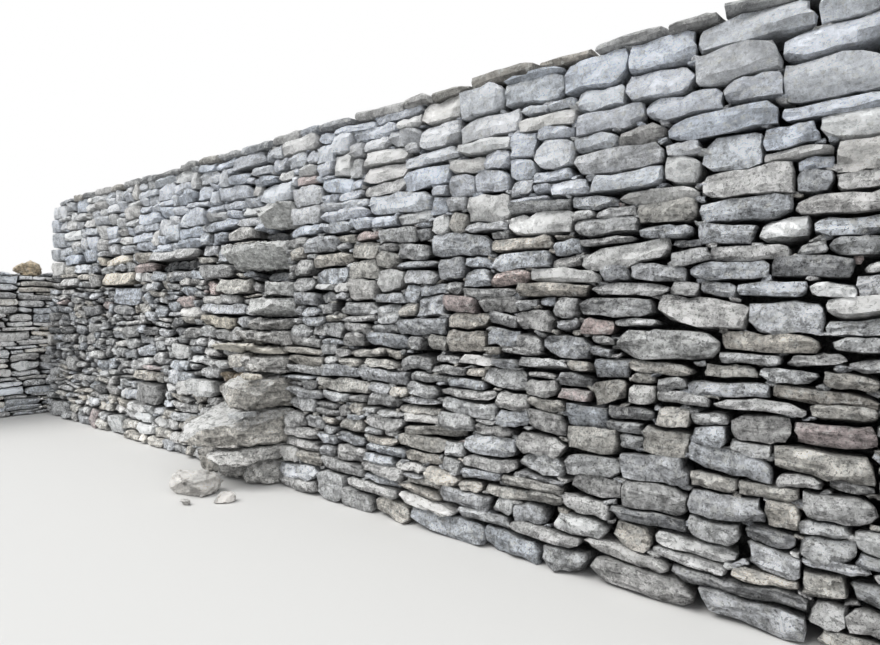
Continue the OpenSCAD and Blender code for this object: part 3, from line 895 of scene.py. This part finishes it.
def settled(piece):
    """The result of the piece's modifiers becomes its plain mesh."""
    graph = bpy.context.evaluated_depsgraph_get()
    mesh = bpy.data.meshes.new_from_object(piece.evaluated_get(graph), depsgraph=graph)
    piece.modifiers.clear()
    piece.data = mesh
    mesh.name = piece.name
    return mesh


def lay_piece(name, places, pile, material, slot, nodes, wander=0.05, knocks=0.09):
    mesh = bpy.data.meshes.new(name)
    mesh.from_pydata([tuple(p.centre) for p in places], [], [])
    for label, kind, key, values in (
        ("size", "FLOAT_VECTOR", "vector", [p.size for p in places]),
        ("turn", "FLOAT_VECTOR", "vector", [p.turn for p in places]),
        ("kind", "INT", "value", [p.kind for p in places]),
        ("stone_colour", "FLOAT_COLOR", "color", [p.colour for p in places]),
        ("rough", "FLOAT", "value", [p.rough for p in places]),
    ):
        layer = mesh.attributes.new(label, kind, "POINT")
        layer.data.foreach_set(key, np.array(values).ravel().tolist())
    piece = bpy.data.objects.new(name, mesh)
    scene.collection.objects.link(piece)
    mod = piece.modifiers.new("lay stones", "NODES")
    mod.node_group = laying
    for label, value in (
        ("Heap", pile),
        ("Wander", wander),
        ("Knocks", knocks),
        ("Grit", GRIT),
        ("Seed", 4.0),
        ("Finish", material),
    ):
        mod[inputs[label]] = value
    laid = settled(piece)
    for label in ("size", "turn", "kind", "rough"):
        if label in laid.attributes:
            laid.attributes.remove(laid.attributes[label])
    laid.shade_smooth()
    laid.set_sharp_from_angle(angle=SHARP)
    keep_inside(laid)
    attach(piece, "root")
    if nodes:
        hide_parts(*nodes)
    laid.calc_loop_triangles()
    print(f"{name}: {len(places)} stones, {len(laid.loop_triangles)} triangles")


def keep_inside(mesh):
    """Nothing may leave the box of the solids, or sink into the ground."""
    co = np.empty(len(mesh.vertices) * 3, np.float32)
    mesh.vertices.foreach_get("co", co)
    co = co.reshape(-1, 3)
    np.clip(co, np.array(LOW, np.float32), np.array(HIGH, np.float32), out=co)
    mesh.vertices.foreach_set("co", co.ravel())
    mesh.update()


# %% [markdown]
# ## From a plan to places
#
# A stone's cell in the plan becomes a place: a little smaller than the cell,
# so that the joint stays open, standing a little proud or back, and turned
# by a few degrees, as stones on their own beds are.

# %% Places of a face
def stone_kind(w, h, rough, rng):
    sort = "rough " if rng.random() < rough else "neat "
    sort += "square" if w < 1.7 * h else "long"
    return first_of[sort] + rng.randrange(SORTS[sort][0])


# stones longer than this are the less often broken, the longer they are
BROKEN_UP_TO = 0.26
# how rough the evenly laid faces are
EVEN = 0.3


def place_of(face, cell, colour, rng, proud=None, gap=0.010, rough=EVEN):
    """The rougher the place, the less its stones line up, and the more the
    noises move them; thin stones are moved less.
    """
    u, v, w, h = cell
    o = rng.uniform(-0.022 - 0.018 * rough, 0.014 + 0.014 * rough) if proud is None else proud
    roll = rng.gauss(0, (0.022 if w > 0.25 else 0.05) * (1 + rough))
    roll += math.pi if rng.random() < 0.5 else 0.0
    turn = face.turn(roll, nod=rng.gauss(0, 0.06 + 0.09 * rough), yaw=rng.gauss(0, 0.05 + 0.07 * rough))
    depth = face.depth - 0.02
    centre = face.place(u + w / 2, v + h / 2, o - depth / 2)
    joint = gap * (0.6 + 0.5 * rough)
    size = (max(0.02, w - joint), depth, max(0.016, h - joint))
    kind = stone_kind(w, h, rough * min(1.0, BROKEN_UP_TO / w), rng)
    moved = (0.75 + 0.55 * rough) * min(1.0, 0.25 + 6.0 * h)
    return Place(centre, size, turn, kind, colour, moved)


def even_work(u, v):
    """The back and the return wall are laid evenly."""
    return EVEN


def face_places(face, cells, paint, seed, gap=0.010, rough_at=even_work):
    rng = random.Random(seed)
    places = []
    for cell in cells:
        u, v = cell[0] + cell[2] / 2, cell[1] + cell[3] / 2
        colour = paint(u, v, rng)
        places.append(place_of(face, cell, colour, rng, gap=gap, rough=rough_at(u, v)))
    return places


# %% [markdown]
# ## Pinnings
#
# Where a joint gapes, a waller pushes in a small stone. These stand at the
# upper and lower corners of the planned stones, a little behind their fronts.

# %% Small stones pinned into the joints
def pinnings(face, cells, paint, seed, share):
    """share: how many of the planned stones have one; large stones have more."""
    rng = random.Random(seed)
    places = []
    for u, v, w, h in cells:
        if rng.random() > share + w * h * 6.0 or h < 0.05:
            continue
        pu = u + w + rng.uniform(-0.02, 0.01)
        pv = v + rng.choice((0.0, h)) + rng.uniform(-0.008, 0.008)
        size = (rng.uniform(0.035, 0.08), face.depth * 0.6, rng.uniform(0.016, 0.035))
        turn = face.turn(rng.uniform(-0.3, 0.3), yaw=rng.uniform(-0.2, 0.2))
        centre = face.place(pu, pv, -0.035 - size[1] / 2)
        kind = stone_kind(size[0], size[2], 0.5, rng)
        places.append(Place(centre, size, turn, kind, paint(pu, pv, rng)))
    return places


# %% [markdown]
# ## The front face
#
# The known stones join the planned ones, and the face is cut into four bays
# at the same lines as the solids, each stone going to the bay that holds its
# middle. The coursed solids of the front step aside for them.

# %% Lay the front face
front_places = face_places(front, front_plan, front_colour, seed=41, rough_at=rubble)
front_places += pinnings(front, front_plan, front_colour, seed=42, share=0.8)
rng = random.Random(43)
HOLLOW_DEPTH = 0.12
for u0, u1, v0, v1, name, proud in KNOWN:
    colour = stone_colour(name, rng)
    front_places.append(place_of(front, (u0, v0, u1 - u0, v1 - v0), colour, rng, proud))
# Painted shade: the stones at the back of the hollows get the dark colour, for the shade that falls
# into them.
for cell in hollow_plan:
    colour = stone_colour("dark", rng)
    front_places.append(place_of(front, cell, colour, rng, proud=-HOLLOW_DEPTH))


def bay_of(place):
    return min(3, max(0, int((place.centre.x - WEST) // BAY)))


def lay_bays(name, places, pile, material, slot, node, *moves):
    """The stones of a long wall as four pieces, one for each of its bays."""
    for k in range(4):
        here = [p for p in places if bay_of(p) == k]
        nodes = [f"{node}_bay_{k + 1}"]
        lay_piece(f"{name}_bay_{k + 1}", here, pile, material, slot, nodes, *moves)


lay_bays("front_stones", front_places, face_heap, wall_limestone, "face_stone", "front_face")

# %% [markdown]
# ## The back face
#
# Nobody has seen the back of this wall. It is laid the same way from its own
# plan, in slightly larger stones, leaning in a little less.

# %% Lay the back face
back_places = face_places(back, back_plan, back_colour, seed=51)
back_places += pinnings(back, back_plan, back_colour, seed=52, share=0.2)
lay_bays("back_stones", back_places, face_heap, wall_limestone, "back_stone", "back_face")

# %% [markdown]
# ## The footing
#
# The biggest stones go at the bottom, in three rows: one under each face and
# one between them. They stand out a little from the faces above.

# %% Lay the footing
def foot_places(face, cells, paint, seed):
    rng = random.Random(seed)
    places = []
    for cell in cells:
        colour = paint(cell[0], cell[1], rng)
        places.append(place_of(face, cell, colour, rng, rng.uniform(0.0, FOOT_OUT)))
    return places


def middle_row(x0, x1, seed):
    rng = random.Random(seed)
    places, x = [], x0
    while x < x1 - 0.05:
        w = min(rng.uniform(0.35, 0.6), x1 - x)
        centre = Vector((x + w / 2, 0.0, FOOT / 2 - 0.005))
        size = (w - 0.01, 0.40, FOOT - 0.02)
        colour = stone_colour("dark", rng)
        places.append(Place(centre, size, Euler((0, 0, 0)), rng.randrange(BLOCK_KINDS), colour))
        x += w
    return places


foot_all = foot_places(front, front_foot, front_colour, 61)
foot_all += foot_places(back, back_foot, back_colour, 62)
for name, x0, x1 in (("west", WEST, -BAY), ("middle", -BAY, BAY), ("east", BAY, EAST)):
    here = [p for p in foot_all if x0 <= p.centre.x < x1]
    lay_piece(f"footing_stones_{name}", here, face_heap, wall_limestone, "footing_stone",
              [f"footing_{name}"])
lay_piece("footing_middle_row", middle_row(WEST, EAST, 63), block_heap, end_limestone,
          "footing_stone", [])

# %% [markdown]
# ## The return wall
#
# The lower wall in the corner is laid in thin, long slabs with smaller ones
# between. Its inner face is upright and its outer face leans in.

# %% Lay the return wall
north_end = Face((0, HALF, 0), math.pi, 0.0, RETURN_SKIN)
# Painted light: the inner face's stones are painted brighter than the outer face's.
inner_places = face_places(return_in, inner_plan, return_colour, 71, gap=0.012)
inner_places += pinnings(return_in, inner_plan, return_colour, 72, share=0.2)
outer_places = face_places(return_out, outer_plan, outer_colour, 73, gap=0.012)
outer_places += face_places(north_end, north_plan, outer_colour, 74, gap=0.012)
lay_piece("return_inner_stones", inner_places, face_heap, wall_limestone, "return_stone",
          ["return_inner_face", "return_footing"], wander=0.03)
lay_piece("return_outer_stones", outer_places, face_heap, wall_limestone, "return_stone",
          ["return_outer_face"], wander=0.03)

# %% [markdown]
# ## End stones
#
# At each free end two squared stones make up the wall's thickness in every
# course, one long and one short, and they change sides from course to course.

# %% Lay the end stones
def end_places(beds, seed, axis, end, inward, sides, shift, spreads, paint):
    """Two stones to a bed, side by side, one long and one short.

    axis is 0 where the wall runs along X and 1 where it runs along Y. sides(v)
    tells where its two faces are at a height. shift is how far their joint is
    from the middle, spreads how much they may be turned about X, Y and Z.
    """
    rng = random.Random(seed)
    places = []
    for i, (a, b) in enumerate(beds):
        mid_v = (a + b) / 2
        one, other = sides(mid_v)
        split = (one + other) / 2 + (shift if i % 2 == 0 else -shift)
        for side, length in ((one, end_length(i)), (other, end_length(i + 1))):
            spot = [end + inward * length / 2, (side + split) / 2]
            wide = [length - 0.012, abs(side - split) - 0.010]
            if axis == 1:
                spot.reverse()
                wide.reverse()
            turn = Euler([rng.gauss(0, s) if s else 0.0 for s in spreads])
            colour = paint(end, mid_v, rng)
            size = (*wide, b - a - 0.008)
            kind = rng.randrange(BLOCK_KINDS)
            places.append(Place(Vector((*spot, mid_v)), size, turn, kind, colour))
    return places


def tall_sides(v):
    return -HALF + FRONT_LEAN * v, HALF - BACK_LEAN * v


def return_sides(v):
    return WEST, WEST - RETURN_T + RETURN_LEAN * v


TALL = (tall_sides, 0.07, (0.008, 0.008, 0.012), front_colour)
LOWER = (return_sides, 0.06, (0, 0.008, 0.012), outer_colour)
for name, places, node in (
    ("east_end_stones", end_places(east_beds, 81, 0, EAST, -1, *TALL), "east_quoins"),
    ("west_end_stones", end_places(west_beds, 82, 0, WEST, 1, *TALL), "west_quoins"),
    ("return_end_stones", end_places(south_beds, 83, 1, RETURN_SOUTH, 1, *LOWER), "return_quoins"),
):
    lay_piece(name, places, block_heap, end_limestone, "quoin_stone", [node], 0.01, 0.02)

# %% [markdown]
# ## Cover stones
#
# The wall has no coping on edge, only thin flat stones that hold the hearting
# down and shed some rain. They lie in a front row and a back row, of uneven
# length and thickness, and the first one of the front row has gone.

# %% Lay the cover stones
def cover_places(u0, u1, across, base, thick, seed, along_y=False, skip=()):
    rng = random.Random(seed)
    places, u = [], u0
    while u < u1 - 0.04:
        w = rng.uniform(0.22, 0.62)
        if u1 - u - w < 0.2:
            w = u1 - u
        t = thick * rng.uniform(0.5, 0.92)
        lo, hi = across
        if not any(a < u + w / 2 < b for a, b in skip):
            size_u, size_v = w - 0.012, (hi - lo) * rng.uniform(0.94, 1.0)
            centre_a, centre_b = u + w / 2, (lo + hi) / 2
            if along_y:
                centre, size = (centre_b, centre_a, base + t / 2), (size_v, size_u, t)
            else:
                centre, size = (centre_a, centre_b, base + t / 2), (size_u, size_v, t)
            turn = Euler((rng.gauss(0, 0.012), rng.gauss(0, 0.012), rng.gauss(0, 0.03)))
            colour = cover_colour(rng)
            kind = rng.randrange(BLOCK_KINDS)
            places.append(Place(Vector(centre), size, turn, kind, colour))
        u += w
    return places


top_front, top_back = tall_sides(TOP)
middle = (top_front + top_back) / 2 + 0.03
cover_front = cover_places(WEST, EAST, (top_front, middle), TOP, COVER, 91,
                           skip=[(WEST, WEST + 0.4)])
cover_back = cover_places(WEST, EAST, (middle, top_back), TOP, COVER, 92)
lay_bays("cover_stones", cover_front + cover_back, block_heap, end_limestone, "cover_stone",
         "cover", 0.02, 0.03)
cap_low, cap_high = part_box("corner_cap_stone")
outer_edge = return_sides(RETURN_TOP)[1]
return_cover = cover_places(RETURN_SOUTH, HALF, (outer_edge, WEST), RETURN_TOP, RETURN_COVER,
                            93, along_y=True,
                            skip=[(cap_low[1] - 0.1, cap_high[1] + 0.02)])
return_cover += cover_places(cap_low[1] - 0.04, cap_high[1] + 0.02, (outer_edge, cap_low[0]),
                             RETURN_TOP, RETURN_COVER, 94, along_y=True)
lay_piece("return_cover_stones", return_cover, block_heap, end_limestone, "cover_stone",
          ["return_cover"], 0.01, 0.03)

# %% [markdown]
# ## The broken stub
#
# Where a cross wall once met the front, its bonders and boulders are left
# standing out like teeth. They are few and large, so each is carved by
# itself: a copy of its solid is closed and given an even skin of small faces,
# then chips are struck off it and its surface is roughened by noise.

# %% An even skin
def even_skin(node, name, size):
    """A copy of a solid's mesh, closed and divided into faces of one size."""
    mesh = frame["nodes"][node].data.copy()
    mesh.name = name
    bm = bmesh.new()
    bm.from_mesh(mesh)
    bmesh.ops.remove_doubles(bm, verts=bm.verts, dist=1e-5)
    bm.to_mesh(mesh)
    bm.free()
    piece = bpy.data.objects.new(name, mesh)
    scene.collection.objects.link(piece)
    mod = piece.modifiers.new("even skin", "REMESH")
    mod.mode = "VOXEL"
    mod.voxel_size = size
    return piece, settled(piece)


# %% [markdown]
# ## Relief of broken stone
#
# Split limestone shows its thin beds, flat chips of two sizes, and grain. The
# chips come from a foam whose cells slope each their own way, because plain
# noise would be round all over. A boulder is pale on one side: partly the
# weathered crust and lichen streaks of a stone that has lain in the open, and
# partly painted light on the side that looks towards the soft daylight.

# %% Relief and the pale side, partly weathered and partly painted light
# the way that the boulders' pale sides look, near the way the soft daylight
# comes from, so that they are partly weathered and partly painted light; how
# far round they reach, and how sharply they end
WEATHER_AND_LIGHT_SIDE = Vector((-0.56, -0.26, 0.79))
WEATHER_AND_LIGHT_REACH, WEATHER_AND_LIGHT_EDGE = 0.26, 2.8
# the sizes of the large and the small chips
CHIP, SMALL_CHIP = 0.13, 0.05
# all relief goes inwards from here, so that a stone stays inside its solid
HIGHEST = 0.9


def ridged(p):
    return 1.0 - 2.0 * abs(noise.noise(p))


def facets(p, size, seed):
    """A surface broken into flat chips: each cell of a foam has its own slope."""
    spot = p / size + Vector((seed, 0.0, 0.0))
    site = noise.voronoi(spot)[1][0]
    slope = noise.cell_vector(site * 9.7) - Vector((0.5, 0.5, 0.5))
    return 2.0 * (spot - site).dot(slope)


# %% [markdown]
# ## Carving
#
# First the large breaks are cut, then chips are struck off wherever the stone
# stands out furthest in some direction, and last every point is moved along
# its normal by the relief. Two attributes are left for the material: how deep
# a point lies, from which it paints shade into the hollows, and how pale one
# side is, partly by weathered crust and partly by painted light.

# %% Carve a boulder from its solid
def carve(node, name, material, seed, skin=0.011, rough=0.020, chips=12, depth=0.05,
          cuts=(), crust=0.2, layered=0.30, reach=None):
    """skin: the size of its small faces. rough: how high its relief is.
    chips, depth: how many chips are struck off it, and how deep they go.
    cuts: its large breaks. crust: how pale one side of it is, partly by
    weathered crust and partly by painted light. layered: how much its beds
    show. reach: how far from a spot a chip goes.
    """
    rng = random.Random(seed)
    low, high = (Vector(c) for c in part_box(node))
    piece, even = even_skin(node, name, skin)
    points = [v.co.copy() for v in even.vertices]
    for share, n in cuts:
        spot = Vector(a + (b - a) * t for a, b, t in zip(low, high, share))
        n = Vector(n).normalized()
        cut_down(points, n, spot.dot(n))
    for k in range(chips):
        down = -0.7 if k % 3 == 0 else rng.uniform(-0.4, 0.9)
        n = Vector((rng.uniform(-1, 1), rng.uniform(-1.2, -0.1), down)).normalized()
        near = points
        if reach is not None:
            here = rng.choice(points)
            near = [p for p in points if (p - here).length < reach]
        far = max(near, key=n.dot)
        spot = far - n * rng.uniform(0.3, 1.0) * depth
        cut_down(near, n, spot.dot(n))
    for v, q in zip(even.vertices, points):
        v.co = q
    even.update()
    normals = [v.normal.copy() for v in even.vertices]
    relief, crusted = [], []
    for v, q, n in zip(even.vertices, points, normals):
        flat = Vector((q.x * 5.0 + seed, q.y * 5.0, q.z * 26.0))
        bed = ridged(flat)
        big = noise.noise(q * 4.5 + Vector((seed, 0, 0)))
        chip = facets(q, CHIP, seed) + 0.45 * facets(q, SMALL_CHIP, seed)
        fine = noise.noise(q * 27.0) + 0.5 * noise.noise(q * 55.0)
        lift = 0.6 * big + 0.85 * chip + 0.25 * fine + layered * bed
        v.co = q + n * rough * (lift - HIGHEST)
        # The pale side: weathered crust and lichen streaks, and painted light on the faces that look
        # towards the soft daylight.
        streak = noise.noise(Vector((q.x * 34.0, q.y * 34.0, q.z * 5.0)))
        weathered = (n.dot(WEATHER_AND_LIGHT_SIDE) - WEATHER_AND_LIGHT_REACH) * WEATHER_AND_LIGHT_EDGE
        weathered += 0.35 * big + 0.7 * streak
        crusted.append(crust * min(1.0, max(0.0, weathered)))
        # painted shade: the relief sinks with the surface, so that the material darkens the hollows
        relief.append(min(1.0, max(0.0, 0.80 + 0.4 * fine + 0.3 * chip + 0.2 * bed)))
    for label, values in (("relief", relief), ("crusted", crusted)):
        layer = even.attributes.new(label, "FLOAT", "POINT")
        layer.data.foreach_set("value", values)
    keep_inside(even)
    even.materials.clear()
    even.materials.append(material)
    even.shade_smooth()
    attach(piece, "root")
    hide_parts(node)
    even.calc_loop_triangles()
    print(f"{name}: {len(even.loop_triangles)} triangles")


# %% [markdown]
# ## The stub's stones
#
# The table has a line for each stone: its material, its slot, how pale one
# side is, partly by weathered crust and partly by painted light, and its large
# breaks. A break is a place, as shares of the stone's box, and the way that it
# looks.

# %% Carve the stub's stones
STUB_STONES = {
    "stub_foot_stone_west": (stub_limestone, "stub_stone", 0.2),
    "stub_foot_stone_east": (stub_limestone, "stub_stone", 0.2),
    "stub_foot_stone_outer": (boulder_limestone, "boulder_stone", 0.2),
    "stub_base_slab": (stub_limestone, "stub_stone", 0.2),
    "stub_great_boulder": (
        boulder_limestone, "boulder_stone", 0.95,
        ((0.60, 0.20, 0.62), (-0.12, -0.36, 0.92)),
        ((0.66, 0.18, 0.55), (0.31, -0.93, -0.12)),
    ),
    "stub_shoulder_stone": (
        boulder_limestone, "boulder_stone", 0.70,
        ((0.75, 0.10, 0.50), (0.45, -0.88, -0.10)),
    ),
    "stub_wide_bonder": (stub_limestone, "stub_stone", 0.2),
    "stub_cream_slab": (cream_limestone, "cream_stone", 0.2),
    "stub_flat_bonder": (stub_limestone, "stub_stone", 0.2),
    "stub_thin_bonder": (stub_limestone, "stub_stone", 0.2),
    "stub_square_bonder": (
        pale_limestone, "boulder_stone", 0.60,
        ((0.50, 0.10, 0.14), (0.20, -0.60, -0.77)),
    ),
    "stub_sloping_bonder": (pale_limestone, "stub_stone", 0.50),
    "stub_ledge_block": (
        pale_limestone, "stub_stone", 0.60,
        ((0.55, 0.25, 0.35), (0.35, -0.65, -0.68)),
    ),
    "stub_top_block": (
        pale_limestone, "stub_stone", 0.50,
        ((0.50, 0.30, 0.30), (0.25, -0.60, -0.76)),
    ),
}
for k, (node, (material, slot, crust, *cuts)) in enumerate(STUB_STONES.items()):
    carve(node, node + "_carved", material, seed=500 + k, cuts=cuts, crust=crust)

# %% [markdown]
# ## Packing between the bonders
#
# Three small flat stones fill the gaps between the stub's big ones, as a
# waller would pack them.

# %% Packing stones of the stub
packing_rng = random.Random(95)
packing = []
for centre, size, colour in (
    ((-0.22, -0.72, 0.625), (0.20, 0.14, 0.045), "pale"),
    ((-0.20, -0.63, 0.930), (0.20, 0.12, 0.040), "warm"),
    ((-0.55, -0.50, 1.035), (0.24, 0.16, 0.110), "warmgrey"),
):
    turn = Euler([packing_rng.gauss(0, spread) for spread in (0.05, 0.08, 0.15)])
    kind = packing_rng.randrange(BLOCK_KINDS)
    packing.append(Place(Vector(centre), size, turn, kind, stone_colour(colour, packing_rng, 1.2)))
lay_piece("stub_packing_stones", packing, block_heap, end_limestone, "stub_stone", [], 0.01, 0.04)

# %% [markdown]
# ## Loose stones
#
# A boulder and some small stones have fallen from the stub and lie at its
# foot, and one round brown stone lies on the return wall, in the corner.

# %% Carve the loose stones
carve("fallen_boulder", "fallen_boulder_carved", fallen_limestone, 601,
      layered=0.8)
carve("fallen_small_stones", "fallen_small_stones_carved", fallen_limestone, 602,
      skin=0.006, rough=0.008, chips=16, depth=0.022, reach=0.15, layered=0.5)
carve("corner_cap_stone", "corner_cap_stone_carved", brown_limestone, 603)

# %% [markdown]
# ## The hearting
#
# Behind the face stones the wall is packed with small stones. Only shadows of
# it show through the joints, so its solids stay as they are and are painted
# near black: painted shade, not the colour of the stones.

# %% Finish the hearting
for node in ("hearting_west", "hearting_middle", "hearting_east"):
    solid = frame["nodes"][node]
    solid.data.materials.clear()
    solid.data.materials.append(core_in_painted_shade)

# %% [markdown]
# ## The core at the return wall's north end
#
# That end is closed by thin stones of its own, so a copy of the core is
# made that ends a hand's breadth earlier, and it takes the solid's place.

# %% Draw the return wall's hearting back from its north end
END_SKIN = 0.16
core = frame["nodes"]["return_hearting"].data.copy()
core.name = "return_hearting_stones"
for corner in core.vertices:
    corner.co.y = min(corner.co.y, HALF - END_SKIN)
print("the core ends at y =", round(HALF - END_SKIN, 3))
core.materials.clear()
core.materials.append(core_in_painted_shade)
return_core = bpy.data.objects.new(core.name, core)
scene.collection.objects.link(return_core)
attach(return_core, "root")
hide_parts("return_hearting")

# %% [markdown]
# ## The heaps are used up
#
# The laid pieces are plain meshes now, so the heaps can go.

# %% Clear the heaps away
for pile in (face_heap, block_heap):
    for stone in list(pile.objects):
        bpy.data.objects.remove(stone)
    bpy.data.collections.remove(pile)

# %% [markdown]
# ## Ground, light and camera
#
# A plain pale floor catches the shadows. The day is overcast: a wide soft
# light comes from the upper left, a weaker and wider one from the right, and
# the sky fills the rest. The sky is plain white where it is seen, and duller
# where it lights the wall. The camera stands where the photograph was taken,
# at the eye height of a person.

# %% Ground
ground_mesh = bpy.data.meshes.new("ground")
ground_mesh.from_pydata(
    [(-60, -60, 0), (60, -60, 0), (60, 60, 0), (-60, 60, 0)], [], [(0, 1, 2, 3)]
)
ground = bpy.data.objects.new("ground", ground_mesh)
scene.collection.objects.link(ground)
plaster = bpy.data.materials.new("pale floor")
plaster.use_nodes = True
matt = plaster.node_tree.nodes["Principled BSDF"].inputs
matt["Base Color"].default_value = (0.70, 0.70, 0.69, 1)
matt["Roughness"].default_value = 0.95
ground_mesh.materials.append(plaster)

# %% Sky and sun
world = bpy.data.worlds.new("overcast")
scene.world = world
world.use_nodes = True
sky = world.node_tree
sky.nodes.clear()
dull = add_node(sky, "ShaderNodeBackground", {"Color": (0.95, 0.97, 1.0, 1), "Strength": 0.60})
white = add_node(sky, "ShaderNodeBackground", {"Color": (1, 1, 1, 1), "Strength": 1.0})
path = add_node(sky, "ShaderNodeLightPath").outputs
either = add_node(sky, "ShaderNodeMath",
                  {0: path["Is Camera Ray"], 1: path["Is Glossy Ray"]}, operation="ADD")
both = add_node(sky, "ShaderNodeMath",
                {0: either.outputs[0], 1: path["Is Transmission Ray"]},
                operation="ADD", use_clamp=True)
choose = add_node(sky, "ShaderNodeMixShader",
                  {"Fac": both.outputs[0], 1: dull.outputs[0], 2: white.outputs[0]})
add_node(sky, "ShaderNodeOutputWorld", {"Surface": choose.outputs[0]})


def daylight(name, towards, power, width):
    data = bpy.data.lights.new(name, "SUN")
    data.energy = power
    data.angle = math.radians(width)
    data.color = (1.0, 0.985, 0.96)
    lamp = bpy.data.objects.new(name, data)
    lamp.rotation_euler = Vector(towards).to_track_quat("-Z", "Y").to_euler()
    scene.collection.objects.link(lamp)


daylight("soft daylight", (0.36, 0.52, -0.78), 2.05, 36)
daylight("sky from the right", (-0.70, 0.30, -0.65), 0.85, 70)
scene.view_settings.view_transform = "Standard"

# %% Camera
camera_data = bpy.data.cameras.new("camera")
SENSOR = 36.0
PHOTO_WIDTH, FOCAL_LENGTH = 880.0, 606.0  # in pixels of the photograph
camera_data.sensor_width = SENSOR
camera_data.lens = FOCAL_LENGTH / PHOTO_WIDTH * SENSOR
camera_data.clip_end = 200.0
camera = bpy.data.objects.new("camera", camera_data)
camera.location = (4.140, -3.474, 1.5)
camera.rotation_euler = (math.radians(90.0 - 1.465), 0.0, math.radians(39.5))
scene.collection.objects.link(camera)
scene.camera = camera

# %% [markdown]
# ## Finish
#
# The view layer is brought up to date. Every stone was kept inside the box of
# the solids when it was laid or carved.

# %% Finish
bpy.context.view_layer.update()
